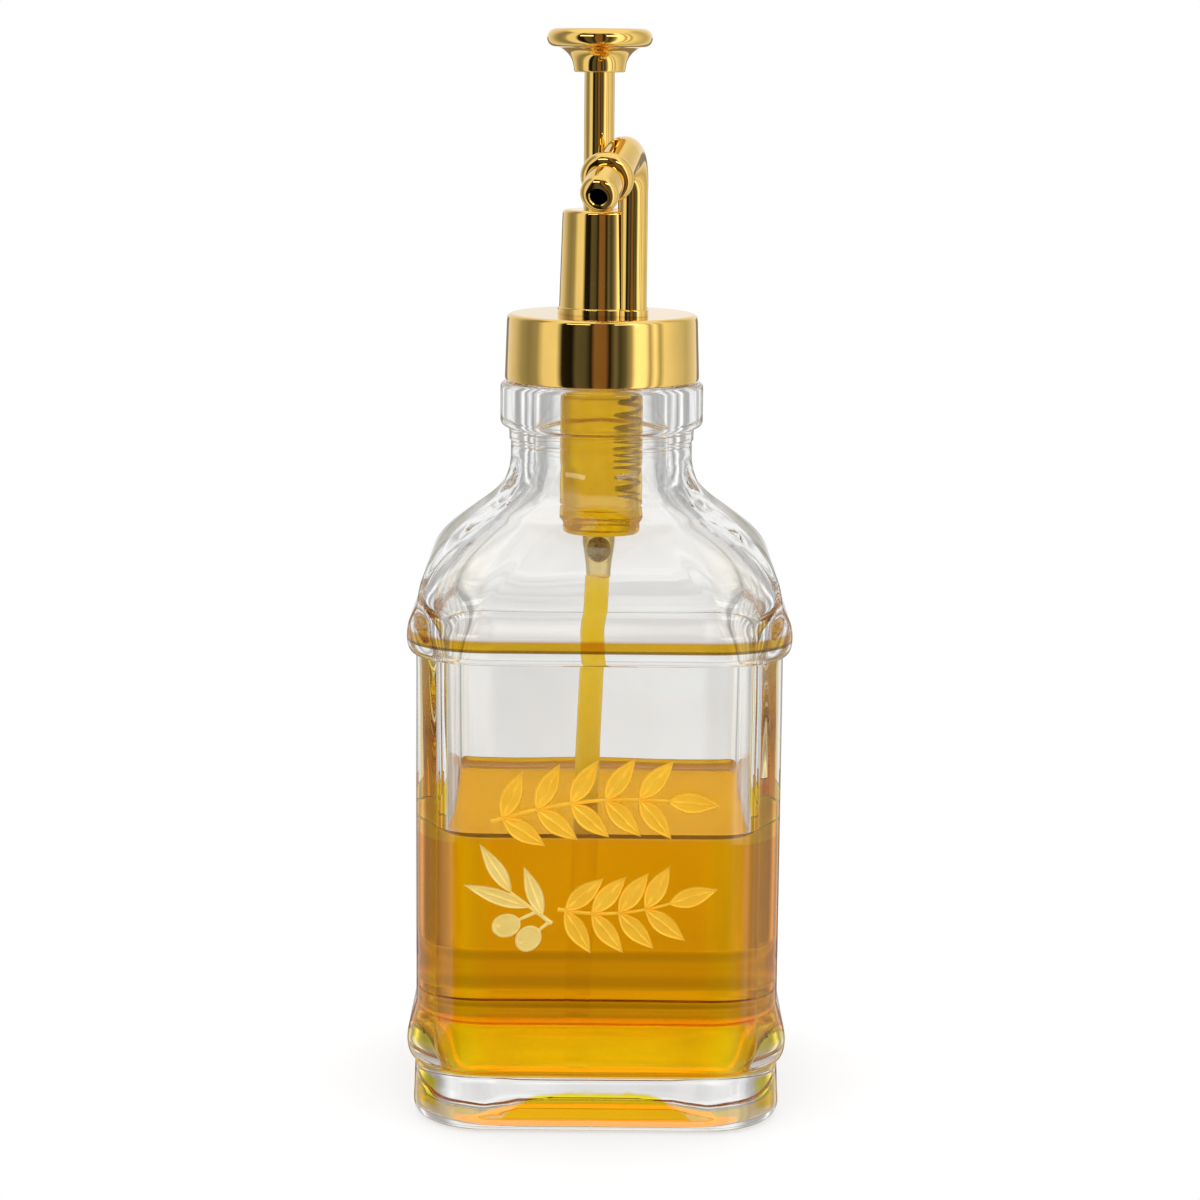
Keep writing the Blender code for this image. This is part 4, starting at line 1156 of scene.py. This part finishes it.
# Further lights and cards. Heights are the sine of the elevation, turns are angles from the camera's side
GUIDED = (2.1, 1.12, 0.06)
GUIDED_HEIGHT = (0.12, 0.17, 0.28, 0.31)
GUIDED_BACK = (0.7, 0.9)
CEILING = (1.15, 1.15, 1.15)
CEILING_HEIGHT = (0.70, 0.86)
EDGE_CARD = (0.30, 0.27, 0.22)
EDGE_TURN = degrees(150, 156, 170, 176)
EDGE_HEIGHT = (0.04, -0.02)
WINDOW = (4.0, 3.9, 3.8)
WINDOW_TURN = degrees(14, 16, 44, 46)
WINDOW_HEIGHT = (0.29, 0.31, 0.45, 0.47)
DOME = (1.30, 1.30, 1.30)


def strip_stops(table):
    """The table's strips as stops of a ramp over the whole turn; some that the outside mirrors are warm."""
    stops = []
    for azimuth, level in table:
        colour = WARM_STRIP if WARM_FROM < azimuth < WARM_TO and table is STRIPS else WHITE
        stops.append(((azimuth + 180.0) / 360.0, tuple(level * c for c in colour)))
    return stops


def make_world():
    """A white surround, with strips, cards and windows that only mirrors and glass see."""
    world = bpy.data.worlds.new("studio")
    bpy.context.scene.world = world
    world.use_nodes = True
    world.cycles.sampling_method = "NONE"
    tree = world.node_tree
    tree.nodes.clear()
    coords = tree.nodes.new("ShaderNodeTexCoord")
    right, back, height = axes(tree, coords.outputs["Generated"])
    turn = maths(tree, "ARCTAN2", right, maths(tree, "MULTIPLY", back, -1.0))
    away = maths(tree, "ABSOLUTE", turn)
    share = maths(tree, "ADD", maths(tree, "DIVIDE", turn, math.tau), 0.5)
    paths = tree.nodes.new("ShaderNodeLightPath")
    passed = maths(tree, "MINIMUM", paths.outputs["Transmission Depth"], 1.0)
    outside = maths(tree, "SUBTRACT", 1.0, passed)

    cloud = node(tree, "ShaderNodeTexNoise", Scale=7.0, Detail=3.0, Roughness=0.55)
    tree.links.new(coords.outputs["Generated"], cloud.inputs["Vector"])
    uneven = tree.nodes.new("ShaderNodeVectorMath")
    uneven.operation = "SCALE"
    tree.links.new(colour_ramp(tree, share, strip_stops(THROUGH)), uneven.inputs[0])
    tree.links.new(spread(tree, cloud.outputs["Fac"], 0.82, 1.18), uneven.inputs["Scale"])
    light = mix_colours(tree, passed, colour_ramp(tree, share, strip_stops(STRIPS)), uneven.outputs["Vector"])

    # light mirrored once inside the thick glass comes out amber
    guided = product(
        tree, step_up(tree, paths.outputs["Transmission Depth"], 3.0, 4.0),
        maths(tree, "COMPARE", paths.outputs["Glossy Depth"], 1.0, 0.1),
        band(tree, height, GUIDED_HEIGHT), step_up(tree, back, *GUIDED_BACK),
    )
    light = mix_colours(tree, guided, light, GUIDED)
    light = mix_colours(tree, step_up(tree, height, *CEILING_HEIGHT), light, CEILING)
    edge = product(tree, band(tree, away, EDGE_TURN), step_up(tree, height, *EDGE_HEIGHT), outside)
    light = mix_colours(tree, edge, light, EDGE_CARD)
    window = product(tree, band(tree, height, WINDOW_HEIGHT), band(tree, away, WINDOW_TURN), outside)
    light = mix_colours(tree, window, light, WINDOW)
    light = mix_colours(tree, maths(tree, "MINIMUM", paths.outputs["Diffuse Depth"], 1.0), light, DOME)
    light = mix_colours(tree, paths.outputs["Is Camera Ray"], light, WHITE)
    shade = tree.nodes.new("ShaderNodeBackground")
    tree.links.new(light, shade.inputs["Color"])
    out = tree.nodes.new("ShaderNodeOutputWorld")
    tree.links.new(shade.outputs["Background"], out.inputs["Surface"])


def make_floor():
    """A pale round table top, small enough that the bottle's glass sees the studio beyond it."""
    bm = bmesh.new()
    bmesh.ops.create_circle(bm, cap_ends=True, segments=96, radius=FLOOR_R)
    floor = new_piece("floor", mesh_from(bm, "floor"), floor_material())
    floor.location = (0.0, 0.0, -0.00002)
    floor.visible_glossy = False


# Camera, from the photograph's own frame of 1200 pixels
PHOTO_WIDTH = 1200.0
FOCAL_PIXELS = 3048.0
CAMERA_BACK = 0.632
CAMERA_UP = 0.2180
CAMERA_PITCH = math.radians(10.204)
CAMERA_ROLL = math.radians(0.5)
LIGHT_BOUNCES = 30


def make_camera():
    data = bpy.data.cameras.new("camera")
    data.sensor_width = 36.0
    data.lens = FOCAL_PIXELS * data.sensor_width / PHOTO_WIDTH
    camera = bpy.data.objects.new("camera", data)
    bpy.context.scene.collection.objects.link(camera)
    camera.location = (0.0, -CAMERA_BACK, CAMERA_UP)
    ahead = Vector((0.0, math.cos(CAMERA_PITCH), -math.sin(CAMERA_PITCH)))
    camera.rotation_mode = "QUATERNION"
    roll = Quaternion((0.0, 0.0, 1.0), CAMERA_ROLL)
    camera.rotation_quaternion = ahead.to_track_quat("-Z", "Y") @ roll
    data.clip_start = 0.01
    data.clip_end = 20.0
    bpy.context.scene.camera = camera


def main():
    scene = bpy.context.scene
    scene.view_settings.view_transform = "Standard"
    scene.cycles.max_bounces = LIGHT_BOUNCES
    scene.cycles.glossy_bounces = LIGHT_BOUNCES
    scene.cycles.transmission_bounces = LIGHT_BOUNCES
    for make in (
        make_world, make_floor, make_camera, make_glass, make_oil, make_cap, make_tower, make_nozzle,
        make_plunger, make_housing, make_spring, make_tail, make_tube, make_branches, make_sprig,
    ):
        make()


main()
